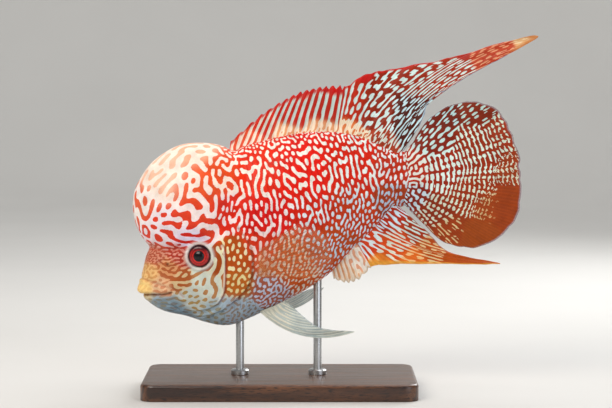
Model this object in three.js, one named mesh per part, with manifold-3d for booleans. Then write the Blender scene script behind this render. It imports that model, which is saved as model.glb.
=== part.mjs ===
// A flowerhorn cichlid as a still, life-size display model. The fish swims nose down, facing -X, with its
// left side towards -Y, and stands on two short rods in a flat base. Millimetres, +Z up, and the origin is
// the middle of the underside of the base.
import * as THREE from "three";
import { mergeVertices } from "three/addons/utils/BufferGeometryUtils.js";
import Module from "manifold-3d";

const wasm = await Module();
wasm.setup();

// Driving dimensions.
const CUT = 0.4; // gap between pieces that touch
const SWIM_BEND = 12; // how far the tail's end curls towards the left side
const BEND_CENTRE_X = -10;
const BEND_LENGTH = 180;
const WIDE = 100; // half width of a cutting block, past the body on both sides

const BASE = { length: 196, depth: 104, height: 12, corner: 10, chamfer: 1.5 };
const ROD = { radius: 3, intoBody: 14, intoBase: 6, sides: 16, bodyX: [-29, 27], bellyZ: [51, 81.5] };
const COLLAR = { radius: 6.5, height: 4, chamfer: 1 };

const EYE = { x: -58, z: 98, radius: 8.2, depth: 5.6, outOfHead: 3, flankHalf: 20.7 };
const HUMP = { x: -61, z: 137, long: 46, high: 42, halfWidth: 28, tilt: 30 };
const LIP = { radius: 2.7, halfWidth: 8.5 };
const LIPS = {
  upper: { front: [-100.6, 77.2], corner: [-83, 74.5] },
  lower: { front: [-98.2, 71], corner: [-83, 71.8] },
};

// Stations of the body from the snout to the tail: a point on the back, the flank and the belly, each [x, z],
// and the half width at the flank.
const BODY = [
  { at: "snout", back: [-102, 76], flank: [-102, 76], half: 0, belly: [-102, 76] },
  { at: "lips", back: [-100.5, 81.5], flank: [-98.5, 76], half: 6.5, belly: [-99, 70] },
  { at: "muzzle", back: [-98.5, 90], flank: [-91.5, 79], half: 11, belly: [-93, 63.5] },
  { at: "face", back: [-94.5, 103], flank: [-79, 85], half: 15.5, belly: [-83, 58] },
  { at: "brow", back: [-82, 119], flank: [-64, 93.5], half: 19.5, belly: [-67.5, 54.5] },
  { at: "cheek", back: [-65, 138], flank: [-48, 103], half: 22.5, belly: [-52, 49.5] },
  { at: "gill", back: [-48, 158.5], flank: [-34, 109.5], half: 24, belly: [-36.5, 48] },
  { at: "shoulder", back: [-33, 174], flank: [-18, 116.5], half: 24.5, belly: [-20, 54] },
  { at: "chest", back: [-14.5, 180.5], flank: [2, 126], half: 23.5, belly: [-0.5, 63.5] },
  { at: "waist", back: [6.5, 185.5], flank: [23, 136], half: 20.5, belly: [18.5, 73.5] },
  { at: "vent", back: [27.5, 188], flank: [42, 144], half: 16, belly: [37.5, 87] },
  { at: "rear", back: [50.5, 186.5], flank: [59, 150], half: 11.5, belly: [52, 103] },
  { at: "stalk front", back: [68.5, 180.5], flank: [74, 153], half: 8.2, belly: [67.5, 117.5] },
  { at: "stalk", back: [83, 174], flank: [84, 154], half: 6, belly: [80.5, 132.5] },
  { at: "tail root", back: [90.5, 172], flank: [91.5, 154], half: 4.2, belly: [90, 135.5] },
  { at: "end", back: [96, 154], flank: [96, 154], half: 0, belly: [96, 154] },
];
const RIDGE = 1.12; // over 1 draws the back in towards a ridge

// The gill cover's edge is an arc behind the cheek, and its front is the cheek bone's hind edge.
const GILL = {
  top: [-29.5, 119],
  rear: [-20, 93.5],
  bottom: [-30, 66],
  front: [-38.5, 66],
  frontTop: [-40.5, 112],
  inner: 13,
};
const NAPE = [-35.5, 174];
const STALK_X = 67;
const MOUTH = { front: [-110, 73.6], corner: [-81, 73], back: [-69, 66], chin: [-71, 45], brow: [-92, 86] };

// Each median fin: points [x, z] along its root, inside the body, and along its edge, front to back.
const FINS = {
  dorsal_fin_spiny: {
    root: [[-36.5, 172], [-24.5, 174.5], [-8.5, 178.5], [8, 181.5], [24.5, 184], [40, 184]],
    edge: [[-35.5, 180], [-20, 194], [-4.5, 204.5], [12, 214.5], [29, 218.5], [45.5, 219]],
    thick: [2.4, 1], rays: 15, spike: 2.6, steps: 2, arch: [0, 0.03, 0], sway: 0,
  },
  dorsal_fin_soft: {
    root: [[40.6, 184], [52, 182.5], [63.5, 178.5], [73.5, 174.5], [80.5, 171], [85.5, 168.5]],
    edge: [
      [46.1, 219.2], [62, 228], [86.5, 233.5], [122.5, 240.5], [162, 252], [183.5, 255.5],
      [162, 242.5], [127, 223], [107, 210], [100, 192], [88.5, 174.5],
    ],
    thick: [2.4, 0.9], rays: 13, spike: 1.2, steps: 4, arch: [0, 0.1, 0], sway: 3,
  },
  tail_fin: {
    root: [[89, 171.5], [91, 163.5], [91.8, 154], [90.6, 144.5], [88.6, 136]],
    edge: [
      [94.5, 176.5], [104.5, 194], [119, 205], [137, 209.5], [153.5, 204.5], [164, 190], [170, 168.5],
      [171.5, 145.5], [168, 124.5], [155.5, 112.5], [135.5, 105], [115, 111.5], [102, 123], [92.8, 132],
    ],
    thick: [3.4, 0.9], rays: 13, spike: 0.8, steps: 4, arch: [0, 0, 0], sway: 3.5,
  },
  anal_fin_spiny: {
    root: [[37, 90.5], [45, 100.5], [53.2, 109]],
    edge: [[38.6, 81.8], [47, 79.6], [55.5, 81.2], [64.3, 90]],
    thick: [2.4, 1], rays: 7, spike: 2, steps: 2, arch: [0, 0, 0], sway: 0,
  },
  anal_fin_soft: {
    root: [[53.8, 109.7], [64.5, 118.5], [73.5, 127], [82.5, 136]],
    edge: [
      [65, 90.2], [86.5, 92.6], [122.5, 93], [157, 93.5], [137, 97.4], [120, 102], [109, 112.5],
      [99.5, 121.5], [87.6, 132.2],
    ],
    thick: [2.4, 0.9], rays: 10, spike: 1, steps: 4, arch: [0, -0.075, 0], sway: -3,
  },
};

// Paired fins: points [x, y, z] along the root and the edge, for the left side, which faces -Y.
const PECTORAL = {
  root: [[-17.5, -24.6, 102], [-16.5, -25, 93], [-14.5, -24.4, 83.5]],
  edge: [[13.5, -29, 124], [28, -32.5, 119], [37, -34, 107.5], [36.5, -33, 93.5], [24, -29, 84.5]],
  thick: [2, 0.7], rays: 8, spike: 0.5, steps: 3, arch: [0, 0.03, 0],
};
const PELVIC = {
  root: [[-14.8, -5.4, 58.2], [-6, -5.8, 61.5], [4, -5.6, 65.3]],
  thick: [2, 0.8], rays: 6, spike: 0.3, steps: 5, arch: [-0.155, -0.09, 0],
  leftEdge: [[53.5, -18, 45.5], [30, -15.5, 47.6], [17.5, -12, 55], [7, -8, 64]],
  rightEdge: [[32, 45, 70], [24, 36, 70.5], [16, 24, 69], [7, 10, 65]],
};

const MATERIALS = {
  head: { color: 0xd98a5c, roughness: 0.4 },
  hump: { color: 0xf3c9ae, roughness: 0.34 },
  skin: { color: 0xd9422c, roughness: 0.38 },
  lips: { color: 0xe0a860, roughness: 0.42 },
  fin: { color: 0xc84a2c, roughness: 0.42 },
  clearFin: { color: 0xb7c2b8, roughness: 0.35 },
  eye: { color: 0x7a1512, roughness: 0.08 },
  wood: { color: 0x3b2619, roughness: 0.45 },
  steel: { color: 0xb9bcc0, roughness: 0.28, metalness: 1 },
};

// A point at share u along a smooth curve through the stations.
function along(points, u) {
  const spans = points.length - 1;
  const at = Math.min(Math.max(u, 0), 1) * spans;
  const i = Math.min(Math.floor(at), spans - 1);
  const t = at - i;
  const p = [i - 1, i, i + 1, i + 2].map((k) => points[Math.min(Math.max(k, 0), spans)]);
  return p[1].map((_, axis) => {
    const [a, b, c, d] = p.map((q) => q[axis]);
    return 0.5 * (2 * b + (c - a) * t + (2 * a - 5 * b + 4 * c - d) * t * t + (3 * b - a - 3 * c + d) * t ** 3);
  });
}

// The whole fish curls gently to its left.
function swimBend(x) {
  return -SWIM_BEND * ((x - BEND_CENTRE_X) / BEND_LENGTH) ** 2;
}

// A closed body of geometry as a solid, turned right way out.
function solidOf(geometry) {
  const bare = new THREE.BufferGeometry().setAttribute("position", geometry.getAttribute("position"));
  bare.setIndex(geometry.index);
  const merged = mergeVertices(bare, 1e-3);
  const vertProperties = new Float32Array(merged.attributes.position.array);
  const triVerts = new Uint32Array(merged.index.array);
  const made = new wasm.Manifold(new wasm.Mesh({ numProp: 3, vertProperties, triVerts }));
  if (made.volume() > 0) return made;
  return new wasm.Manifold(new wasm.Mesh({ numProp: 3, vertProperties, triVerts: triVerts.reverse() }));
}

function moveVertices(geometry, rule) {
  const position = geometry.getAttribute("position");
  const v = new THREE.Vector3();
  for (let i = 0; i < position.count; i += 1) {
    v.fromBufferAttribute(position, i);
    position.setXYZ(i, ...rule(v));
  }
  return geometry;
}

// The whole body, grown outwards by a margin so that it can also cut its neighbours.
function bodySolid(margin, around, lengthwise) {
  const back = BODY.map((s) => s.back);
  const flank = BODY.map((s) => [...s.flank, s.half]);
  const belly = BODY.map((s) => s.belly);
  const ball = new THREE.SphereGeometry(1, around, lengthwise);
  moveVertices(ball, (v) => {
    const u = Math.acos(Math.min(Math.max(-v.y, -1), 1)) / Math.PI;
    const turn = Math.atan2(v.z, v.x);
    const [lift, side] = [Math.sin(turn), Math.cos(turn)];
    const [fx, fz, half] = along(flank, u);
    if (Math.hypot(v.x, v.z) < 1e-6) return [fx, swimBend(fx), fz];
    const [ex, ez] = along(lift > 0 ? back : belly, u);
    const far = Math.hypot(ex - fx, ez - fz) || 1;
    const grow = 1 + margin / far;
    const width = Math.sign(side) * Math.abs(side) ** (lift > 0 ? RIDGE : 1) * (Math.max(half, 0) + margin);
    const x = fx + (ex - fx) * Math.abs(lift) * grow;
    const z = fz + (ez - fz) * Math.abs(lift) * grow;
    return [x, width + swimBend(x), z];
  });
  return solidOf(ball);
}

// An ellipsoid, tilted about the crosswise axis.
function ovalSolid({ x, y, z, rx, ry, rz, tilt = 0, around, high }) {
  const ball = new THREE.SphereGeometry(1, around, high);
  ball.applyMatrix4(new THREE.Matrix4().makeRotationX(Math.PI / 2));
  ball.applyMatrix4(new THREE.Matrix4().makeScale(rx, ry, rz));
  ball.applyMatrix4(new THREE.Matrix4().makeRotationY(THREE.MathUtils.degToRad(-tilt)));
  ball.applyMatrix4(new THREE.Matrix4().makeTranslation(x, y, z));
  return solidOf(ball);
}

function humpSolid(margin) {
  return ovalSolid({
    x: HUMP.x, y: swimBend(HUMP.x), z: HUMP.z, tilt: HUMP.tilt, around: 20, high: 13,
    rx: HUMP.long + margin, ry: HUMP.halfWidth + margin, rz: HUMP.high + margin,
  });
}

// A cutting block: an outline of [x, z] points, or of an arc between two of them, run across the body.
function block(outline, fromY, toY) {
  const shape = new THREE.Shape();
  outline.forEach((p, i) => {
    if (i === 0) shape.moveTo(p[0], p[1]);
    else if (p.length === 2) shape.lineTo(p[0], p[1]);
    else shape.quadraticCurveTo(p[0], p[1], p[2], p[3]);
  });
  const slab = new THREE.ExtrudeGeometry(shape, { depth: toY - fromY, bevelEnabled: false, curveSegments: 8 });
  slab.applyMatrix4(new THREE.Matrix4().makeRotationX(Math.PI / 2));
  slab.applyMatrix4(new THREE.Matrix4().makeTranslation(0, toY, 0));
  return solidOf(slab);
}

// The control point that makes a curve from a to c pass through b at its middle.
function through(a, b, c) {
  return [2 * b[0] - (a[0] + c[0]) / 2, 2 * b[1] - (a[1] + c[1]) / 2];
}

// All of the head that lies in front of the gill opening, drawn in by a margin.
function headBlock(margin) {
  const [top, rear, bottom] = [GILL.top, GILL.rear, GILL.bottom].map(([x, z]) => [x - margin, z]);
  const bend = through(top, rear, bottom);
  return block(
    [[-130, 200], [NAPE[0] - margin, 200], [NAPE[0] - margin, NAPE[1]], top, [...bend, ...bottom],
      [bottom[0] - 2, 30], [-130, 30]],
    -WIDE, WIDE,
  );
}

function gillBlock(side, margin) {
  const top = [GILL.top[0] - margin, GILL.top[1] - margin];
  const bottom = [GILL.bottom[0] - margin, GILL.bottom[1] + margin];
  const bend = through(top, [GILL.rear[0] - margin, GILL.rear[1]], bottom);
  const front = [GILL.front[0] + margin, GILL.front[1] + margin];
  const frontTop = [GILL.frontTop[0] + margin, GILL.frontTop[1] - margin];
  const inner = GILL.inner + margin;
  const outline = [frontTop, top, [...bend, ...bottom], front];
  return side < 0 ? block(outline, -WIDE, -inner) : block(outline, inner, WIDE);
}

function jawBlock(part, margin) {
  const lift = part === "upper" ? margin : -margin;
  const [front, corner] = [MOUTH.front, MOUTH.corner].map(([x, z]) => [x, z + lift]);
  return part === "upper"
    ? block([front, corner, [MOUTH.brow[0] + 12, MOUTH.brow[1] - 4], MOUTH.brow, [-110, 88]], -WIDE, WIDE)
    : block([front, corner, MOUTH.back, MOUTH.chin, [-110, 45]], -WIDE, WIDE);
}

// A lip is a round roll that runs from one corner of the mouth round the snout to the other.
function lipSolid({ front, corner }) {
  const middle = [(front[0] + corner[0]) / 2 - 3, (front[1] + corner[1]) / 2];
  const route = new THREE.CatmullRomCurve3([
    new THREE.Vector3(corner[0], -LIP.halfWidth * 1.25, corner[1]),
    new THREE.Vector3(middle[0], -LIP.halfWidth * 0.9, middle[1]),
    new THREE.Vector3(front[0] + 1.2, -LIP.halfWidth * 0.42, front[1]),
    new THREE.Vector3(front[0] + 1.2, LIP.halfWidth * 0.42, front[1]),
    new THREE.Vector3(middle[0], LIP.halfWidth * 0.9, middle[1]),
    new THREE.Vector3(corner[0], LIP.halfWidth * 1.25, corner[1]),
  ]);
  const section = new THREE.Shape().absarc(0, 0, LIP.radius, 0, Math.PI * 2);
  const roll = new THREE.ExtrudeGeometry(section, { steps: 8, curveSegments: 5, extrudePath: route });
  return solidOf(moveVertices(roll, (v) => [v.x, v.y + swimBend(v.x), v.z]));
}

// A fin is a thin plate from its root curve to its edge curve. Its rays are the lines across, and each ray's
// tip stands out of the web by the spike.
function finSolid({ root, edge, thick, rays, spike, steps, arch, sway = 0 }) {
  const lift = (points) => points.map((p) => (p.length === 2 ? [p[0], 0, p[1]] : p));
  const [roots, edges] = [lift(root), lift(edge)];
  const point = (u, v) => {
    const from = new THREE.Vector3(...along(roots, u));
    const to = new THREE.Vector3(...along(edges, u));
    const ray = to.clone().sub(from);
    const tip = spike * (Math.abs(Math.cos(rays * Math.PI * u)) - 0.5);
    to.addScaledVector(ray.clone().normalize(), tip * Math.min(1, ray.length() / 20));
    const across = new THREE.Vector3(-ray.z, 0, ray.x);
    const [bow] = along(arch.map((a) => [a]), u);
    const at = from.clone().lerp(to, v).addScaledVector(across, bow * 4 * v * (1 - v));
    at.y += sway * v * v * Math.sin(u * Math.PI * 2) + swimBend(at.x);
    return at;
  };
  const plate = new THREE.BoxGeometry(1, 1, 1, rays * 2, steps, 1);
  const reach = 1e-3;
  moveVertices(plate, (p) => {
    const [u, v] = [p.x + 0.5, p.y + 0.5];
    const at = point(u, v);
    const du = point(Math.min(u + reach, 1), v).sub(point(Math.max(u - reach, 0), v));
    const dv = point(u, Math.min(v + reach, 1)).sub(point(u, Math.max(v - reach, 0)));
    const out = du.cross(dv).normalize();
    at.addScaledVector(out, p.z * (thick[0] + (thick[1] - thick[0]) * v));
    return [at.x, at.y, at.z];
  });
  return solidOf(plate);
}

function mirrored(points) {
  return points.map(([x, y, z]) => [x, -y, z]);
}

// The display stand: a chamfered slab, two rods and a collar at the foot of each rod.
function baseSolid() {
  const [hx, hy, r] = [BASE.length / 2 - BASE.chamfer, BASE.depth / 2 - BASE.chamfer, BASE.corner];
  const outline = new THREE.Shape();
  outline.absarc(hx - r, hy - r, r, 0, Math.PI / 2);
  outline.absarc(-hx + r, hy - r, r, Math.PI / 2, Math.PI);
  outline.absarc(-hx + r, -hy + r, r, Math.PI, Math.PI * 1.5);
  outline.absarc(hx - r, -hy + r, r, Math.PI * 1.5, Math.PI * 2);
  const slab = new THREE.ExtrudeGeometry(outline, {
    depth: BASE.height - 2 * BASE.chamfer, curveSegments: 3,
    bevelThickness: BASE.chamfer, bevelSize: BASE.chamfer, bevelSegments: 1,
  });
  slab.applyMatrix4(new THREE.Matrix4().makeTranslation(0, 0, BASE.chamfer));
  return solidOf(slab);
}

function turned(profile, x) {
  const made = new THREE.LatheGeometry(profile.map(([r, z]) => new THREE.Vector2(r, z)), ROD.sides);
  made.applyMatrix4(new THREE.Matrix4().makeRotationX(Math.PI / 2));
  made.applyMatrix4(new THREE.Matrix4().makeTranslation(x, 0, 0));
  return solidOf(made);
}

function rodSolid(x, bellyZ, margin) {
  const [foot, top] = [BASE.height - ROD.intoBase - margin, bellyZ + ROD.intoBody + margin];
  const radius = ROD.radius + margin;
  return turned([[0, foot], [radius, foot], [radius, top], [0, top]], x);
}

function collarSolid(x) {
  const [foot, top] = [BASE.height + CUT, BASE.height + COLLAR.height];
  const [bore, rim] = [ROD.radius + CUT, COLLAR.radius];
  const chamfered = [[rim, top - COLLAR.chamfer], [rim - COLLAR.chamfer, top]];
  return turned([[bore, foot], [rim, foot], ...chamfered, [bore, top], [bore, foot]], x);
}

const group = new THREE.Group();
const finishes = Object.fromEntries(
  Object.entries(MATERIALS).map(([name, look]) => [name, new THREE.MeshStandardMaterial(look)]),
);

function addNode(name, solid, finish) {
  const made = solid.getMesh();
  const geometry = new THREE.BufferGeometry();
  geometry.setAttribute("position", new THREE.BufferAttribute(new Float32Array(made.vertProperties), 3));
  geometry.setIndex(new THREE.BufferAttribute(made.triVerts, 1));
  geometry.computeVertexNormals();
  const mesh = new THREE.Mesh(geometry, finishes[finish]);
  mesh.name = name;
  group.add(mesh);
}

// The largest single body of a cut, which drops slivers left beside it.
function largest(solid) {
  return solid.decompose().sort((a, b) => b.volume() - a.volume())[0];
}

const body = bodySolid(0, 22, 30);
const grownBody = bodySolid(CUT, 22, 30);
const hump = humpSolid(0);
const grownHump = humpSolid(CUT);

const eyes = [-1, 1].map((side) => {
  const y = side * (EYE.flankHalf + EYE.outOfHead - EYE.depth) + swimBend(EYE.x);
  const ball = (margin) => ovalSolid({
    x: EYE.x, y, z: EYE.z, around: 14, high: 9,
    rx: EYE.radius + margin, ry: EYE.depth + margin, rz: EYE.radius + margin,
  });
  return { name: side < 0 ? "eye_left" : "eye_right", solid: ball(0), grown: ball(CUT) };
});
eyes.forEach(({ name, solid }) => addNode(name, solid, "eye"));
const clearOfEyes = (solid) => eyes.reduce((left, { grown }) => left.subtract(grown), solid);

const rods = ROD.bodyX.map((x, i) => ({ x, bellyZ: ROD.bellyZ[i] }));
const clearOfRods = (solid) => rods.reduce((left, r) => left.subtract(rodSolid(r.x, r.bellyZ, CUT)), solid);

// Head: jaws and gill covers are cut out of it, then the hump's seat and the eye sockets.
const lips = { upper: lipSolid(LIPS.upper), lower: lipSolid(LIPS.lower) };
const wholeHead = body.intersect(headBlock(CUT / 2)).add(lips.upper).add(lips.lower);
["upper", "lower"].forEach((part) => {
  addNode(part + "_jaw", largest(wholeHead.intersect(jawBlock(part, CUT / 2))), "lips");
});
[-1, 1].forEach((side) => {
  const cover = wholeHead.intersect(gillBlock(side, CUT / 2)).subtract(grownHump);
  addNode(side < 0 ? "gill_cover_left" : "gill_cover_right", largest(cover), "head");
});
let head = wholeHead;
["upper", "lower"].forEach((part) => {
  head = head.subtract(jawBlock(part, -CUT / 2));
});
[-1, 1].forEach((side) => {
  head = head.subtract(gillBlock(side, -CUT / 2));
});
addNode("head", largest(clearOfRods(clearOfEyes(head.subtract(grownHump)))), "head");
addNode("hump", largest(clearOfEyes(hump.subtract(body.subtract(headBlock(-CUT / 2))))), "hump");

// Trunk and tail stalk, behind the gill opening and clear of the hump, the fins' roots and the rods.
const finSolids = Object.fromEntries(Object.entries(FINS).map(([name, fin]) => [name, finSolid(fin)]));
const behindHead = body.subtract(headBlock(-CUT / 2)).subtract(grownHump);
const stalkBlock = (margin) => block([[STALK_X + margin, 60], [140, 60], [140, 220], [STALK_X + margin, 220]],
  -WIDE, WIDE);
addNode("trunk", largest(clearOfRods(behindHead.subtract(stalkBlock(-CUT / 2)))), "skin");
addNode("tail_stalk", largest(behindHead.intersect(stalkBlock(CUT / 2))), "skin");

Object.entries(finSolids).forEach(([name, solid]) => {
  addNode(name, largest(solid.subtract(grownBody).subtract(grownHump)), "fin");
});
[-1, 1].forEach((side) => {
  const turnOver = side < 0 ? (points) => points : mirrored;
  const name = side < 0 ? "left" : "right";
  const pectoral = { ...PECTORAL, root: turnOver(PECTORAL.root), edge: turnOver(PECTORAL.edge) };
  addNode("pectoral_fin_" + name, largest(finSolid(pectoral).subtract(grownBody)), "fin");
  const pelvicEdge = side < 0 ? PELVIC.leftEdge : PELVIC.rightEdge;
  const pelvic = { ...PELVIC, root: turnOver(PELVIC.root), edge: pelvicEdge };
  addNode("pelvic_fin_" + name, largest(finSolid(pelvic).subtract(grownBody)), "clearFin");
});

// Stand.
addNode("stand_base", rods.reduce((slab, r) => slab.subtract(rodSolid(r.x, r.bellyZ, CUT)), baseSolid()), "wood");
["front", "rear"].forEach((place, i) => {
  addNode("stand_rod_" + place, rodSolid(rods[i].x, rods[i].bellyZ, 0), "steel");
  addNode("stand_collar_" + place, collarSolid(rods[i].x), "steel");
});

export default group;
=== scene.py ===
# The looks of a flowerhorn cichlid display model, built round its solids.
# Shapes are worked out in millimetres in the shared frame and written to the meshes in metres.
import math

import bmesh
import bpy
import numpy as np
from mathutils import Matrix, Vector
from mathutils.kdtree import KDTree


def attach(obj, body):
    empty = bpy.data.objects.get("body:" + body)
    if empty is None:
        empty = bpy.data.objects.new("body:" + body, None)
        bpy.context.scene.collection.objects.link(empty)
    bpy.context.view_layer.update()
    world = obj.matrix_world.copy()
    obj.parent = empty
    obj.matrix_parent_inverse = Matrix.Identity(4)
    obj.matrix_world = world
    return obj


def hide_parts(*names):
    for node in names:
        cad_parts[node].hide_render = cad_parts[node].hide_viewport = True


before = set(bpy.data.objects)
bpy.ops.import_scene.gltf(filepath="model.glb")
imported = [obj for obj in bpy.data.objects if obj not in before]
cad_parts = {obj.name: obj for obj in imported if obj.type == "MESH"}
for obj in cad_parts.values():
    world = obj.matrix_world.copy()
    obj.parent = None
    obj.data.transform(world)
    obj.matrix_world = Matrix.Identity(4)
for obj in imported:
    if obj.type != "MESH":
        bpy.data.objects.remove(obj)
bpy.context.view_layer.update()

MM = 0.001

# Driving dimensions of the fish. The body's outlines are those of its solids: points (x, z) from the snout
# to the tail, and on the flank also the half width. Lips and eyes sit a little off their solids, where the
# photo has them.
SWIM_BEND = 12  # how far the middle swings to the left at BEND_LENGTH from BEND_CENTRE_X
BEND_CENTRE_X = -10
BEND_LENGTH = 180
RIDGE = 1.12  # above 1 the back narrows more than an oval does
BACK = [
    (-102, 76), (-100.5, 81.5), (-98.5, 90), (-94.5, 103), (-82, 119), (-65, 138), (-48, 158.5),
    (-33, 174), (-14.5, 180.5), (6.5, 185.5), (27.5, 188), (50.5, 186.5), (68.5, 180.5), (83, 174),
    (90.5, 172), (96, 154),
]
FLANK = [
    (-102, 76, 0), (-98.5, 76, 6.5), (-91.5, 79, 11), (-79, 85, 15.5), (-64, 93.5, 19.5),
    (-48, 103, 22.5), (-34, 109.5, 24), (-18, 116.5, 24.5), (2, 126, 23.5), (23, 136, 20.5),
    (42, 144, 16), (59, 150, 11.5), (74, 153, 8.2), (84, 154, 6), (91.5, 154, 4.2), (96, 154, 0),
]
BELLY = [
    (-102, 76), (-99, 70), (-93, 63.5), (-83, 58), (-67.5, 54.5), (-52, 49.5), (-36.5, 48), (-20, 54),
    (-0.5, 63.5), (18.5, 73.5), (37.5, 87), (52, 103), (67.5, 117.5), (80.5, 132.5), (90, 135.5),
    (96, 154),
]
# The hump's middle, its half sizes along, up and across, and its tilt in degrees.
HUMP = {"x": -61, "z": 137, "long": 46, "high": 42, "wide": 28, "tilt": 30}
# Each lip is a roll: its front, its corner and its radius.
LIP_HALF_WIDTH = 8.5
LIPS = {"upper": ((-99.4, 74.9), (-78, 74.6), 4.0), "lower": ((-95.0, 68.0), (-79, 69.6), 2.5)}
# The middle of each glass eye, and how its look turns forward and up for each unit to the side.
EYE = {"x": -57, "z": 99.8, "half_head": 20.6, "turn_forward": 0.18, "turn_up": 0.03}

# Lines of the head, seen from the side, each from its top or front end.
GILL_EDGE = [
    (-31, 121), (-29.5, 118.8), (-22.5, 110), (-19.8, 101), (-19.6, 92), (-20.8, 84), (-24, 76.5),
    (-29.5, 70.5), (-38, 63), (-47, 57.5), (-56, 53.5),
]
CHEEK_EDGE = [
    (-40.5, 107), (-39.1, 103), (-38.6, 90), (-39.3, 76), (-41.5, 69.8), (-46.1, 64.1), (-56, 60.5),
    (-68.8, 59.3),
]
MOUTH_LINE = [(-104, 70.6), (-98.5, 70.5), (-90, 70.9), (-81.5, 71.6), (-77, 73.2)]
MAXILLA = [(-104, 83.2), (-98, 82.4), (-92.2, 80.6), (-84, 78), (-75.6, 75.2), (-71, 72), (-68.8, 69.8)]
JAW_FOLD = [(-96, 65.2), (-88, 63.6), (-79, 63.2), (-72, 60)]
NOSTRIL = (-80, 93.5)
PORES = [
    (-69, 87), (-73, 91.5), (-62, 84.5), (-54, 84.8), (-47.5, 89), (-46, 99), (-44, 78), (-50, 70),
    (-60, 65.5), (-70, 64), (-86, 89), (-80, 85.5),
]


def smooth(low, high, value):
    """From 0 at low to 1 at high, with an easy start and end."""
    t = np.clip((value - low) / (high - low), 0, 1)
    return t * t * (3 - 2 * t)


def bell(value, width):
    return np.exp(-((value / width) ** 2))


def along(points, share):
    """Points at shares along a smooth curve through the given ones."""
    points = np.asarray(points, float)
    spans = len(points) - 1
    at = np.clip(share, 0, 1) * spans
    i = np.minimum(np.floor(at).astype(int), spans - 1)
    t = (at - i)[..., None]
    a, b, c, d = (points[np.clip(i + k, 0, spans)] for k in (-1, 0, 1, 2))
    return 0.5 * (2 * b + (c - a) * t + (2 * a - 5 * b + 4 * c - d) * t**2 + (3 * b - a - 3 * c + d) * t**3)


def swim_bend(x):
    """Where the body's middle lies across: the fish curls to its left at both ends."""
    return -SWIM_BEND * ((x - BEND_CENTRE_X) / BEND_LENGTH) ** 2


def body_point(share, turn):
    """A point of the bare body: share from snout to tail, and turn round it, 0 at the right flank."""
    flank = along(FLANK, share)
    lift, side = np.sin(turn), np.cos(turn)
    edge = np.where((lift > 0)[..., None], along(BACK, share), along(BELLY, share))
    x = flank[..., 0] + (edge[..., 0] - flank[..., 0]) * np.abs(lift)
    z = flank[..., 1] + (edge[..., 1] - flank[..., 1]) * np.abs(lift)
    narrowed = np.abs(side) ** np.where(lift > 0, RIDGE, 1)
    width = np.sign(side) * narrowed * np.maximum(flank[..., 2], 0)
    return np.stack([x, width + swim_bend(x), z], -1)


def hump_depth(co):
    """Below 1 inside the hump, 1 on it, and above 1 outside."""
    tilt = math.radians(HUMP["tilt"])
    dx, dz = co[..., 0] - HUMP["x"], co[..., 2] - HUMP["z"]
    dy = co[..., 1] - swim_bend(HUMP["x"])
    fore = dx * math.cos(tilt) + dz * math.sin(tilt)
    up = dz * math.cos(tilt) - dx * math.sin(tilt)
    return np.sqrt((fore / HUMP["long"]) ** 2 + (dy / HUMP["wide"]) ** 2 + (up / HUMP["high"]) ** 2)


def line_gap(x, z, line):
    """Distance from points to a smooth line in the side view: below 0 ahead of a line that runs down, and
    below 0 under a line that runs back."""
    path = along(line, np.linspace(0, 1, 90))
    gap = np.hypot(x[:, None] - path[:, 0], z[:, None] - path[:, 1])
    near = np.argmin(gap, 1)
    step = np.gradient(path, axis=0)[near]
    away = np.stack([x, z], 1) - path[near]
    return gap[np.arange(len(x)), near] * np.sign(step[:, 0] * away[:, 1] - step[:, 1] * away[:, 0])


# Reading and writing meshes.
def read(mesh):
    co = np.empty(len(mesh.vertices) * 3, np.float32)
    mesh.vertices.foreach_get("co", co)
    return co.reshape(-1, 3).astype(float) / MM


def write(mesh, co):
    mesh.vertices.foreach_set("co", (co * MM).astype(np.float32).ravel())
    mesh.update()


def mesh_from(bm, name):
    """Turns a bmesh into a mesh and lets it go."""
    mesh = bpy.data.meshes.new(name)
    bm.to_mesh(mesh)
    bm.free()
    return mesh


def unit(vectors):
    return vectors / np.maximum(np.linalg.norm(vectors, axis=-1, keepdims=True), 1e-9)


def link(name, data):
    """Links an object made from a mesh, lamp or camera."""
    made = bpy.data.objects.new(name, data)
    bpy.context.scene.collection.objects.link(made)
    return made


def soften_shading(mesh):
    mesh.polygons.foreach_set("use_smooth", np.ones(len(mesh.polygons), bool))


def outward(mesh):
    n = np.empty(len(mesh.vertices) * 3, np.float32)
    mesh.vertex_normals.foreach_get("vector", n)
    return n.reshape(-1, 3).astype(float)


def paint(mesh, **values):
    """Writes one number or one colour for each vertex under each name."""
    for name, value in values.items():
        value = np.asarray(value, np.float32)
        if value.ndim == 1:
            made = mesh.attributes.new(name, "FLOAT", "POINT")
            made.data.foreach_set("value", value)
        else:
            made = mesh.attributes.new(name, "FLOAT_COLOR", "POINT")
            rgba = np.ones((len(value), 4), np.float32)
            rgba[:, :3] = value
            made.data.foreach_set("color", rgba.ravel())


def show(name, mesh, material, slot, *nodes, sharp=None):
    """Puts a finished mesh in the scene as a piece that stands for the given nodes."""
    soften_shading(mesh)
    if sharp:
        mesh.set_sharp_from_angle(angle=math.radians(sharp))
    mesh.materials.append(material)
    piece = link(name, mesh)
    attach(piece, "root")
    if nodes:
        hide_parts(*nodes)


def linear(hex_colour):
    """An sRGB hex colour as linear numbers."""
    parts = np.array([int(hex_colour[i:i + 2], 16) for i in (1, 3, 5)]) / 255
    return np.where(parts <= 0.04045, parts / 12.92, ((parts + 0.055) / 1.055) ** 2.4)


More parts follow.
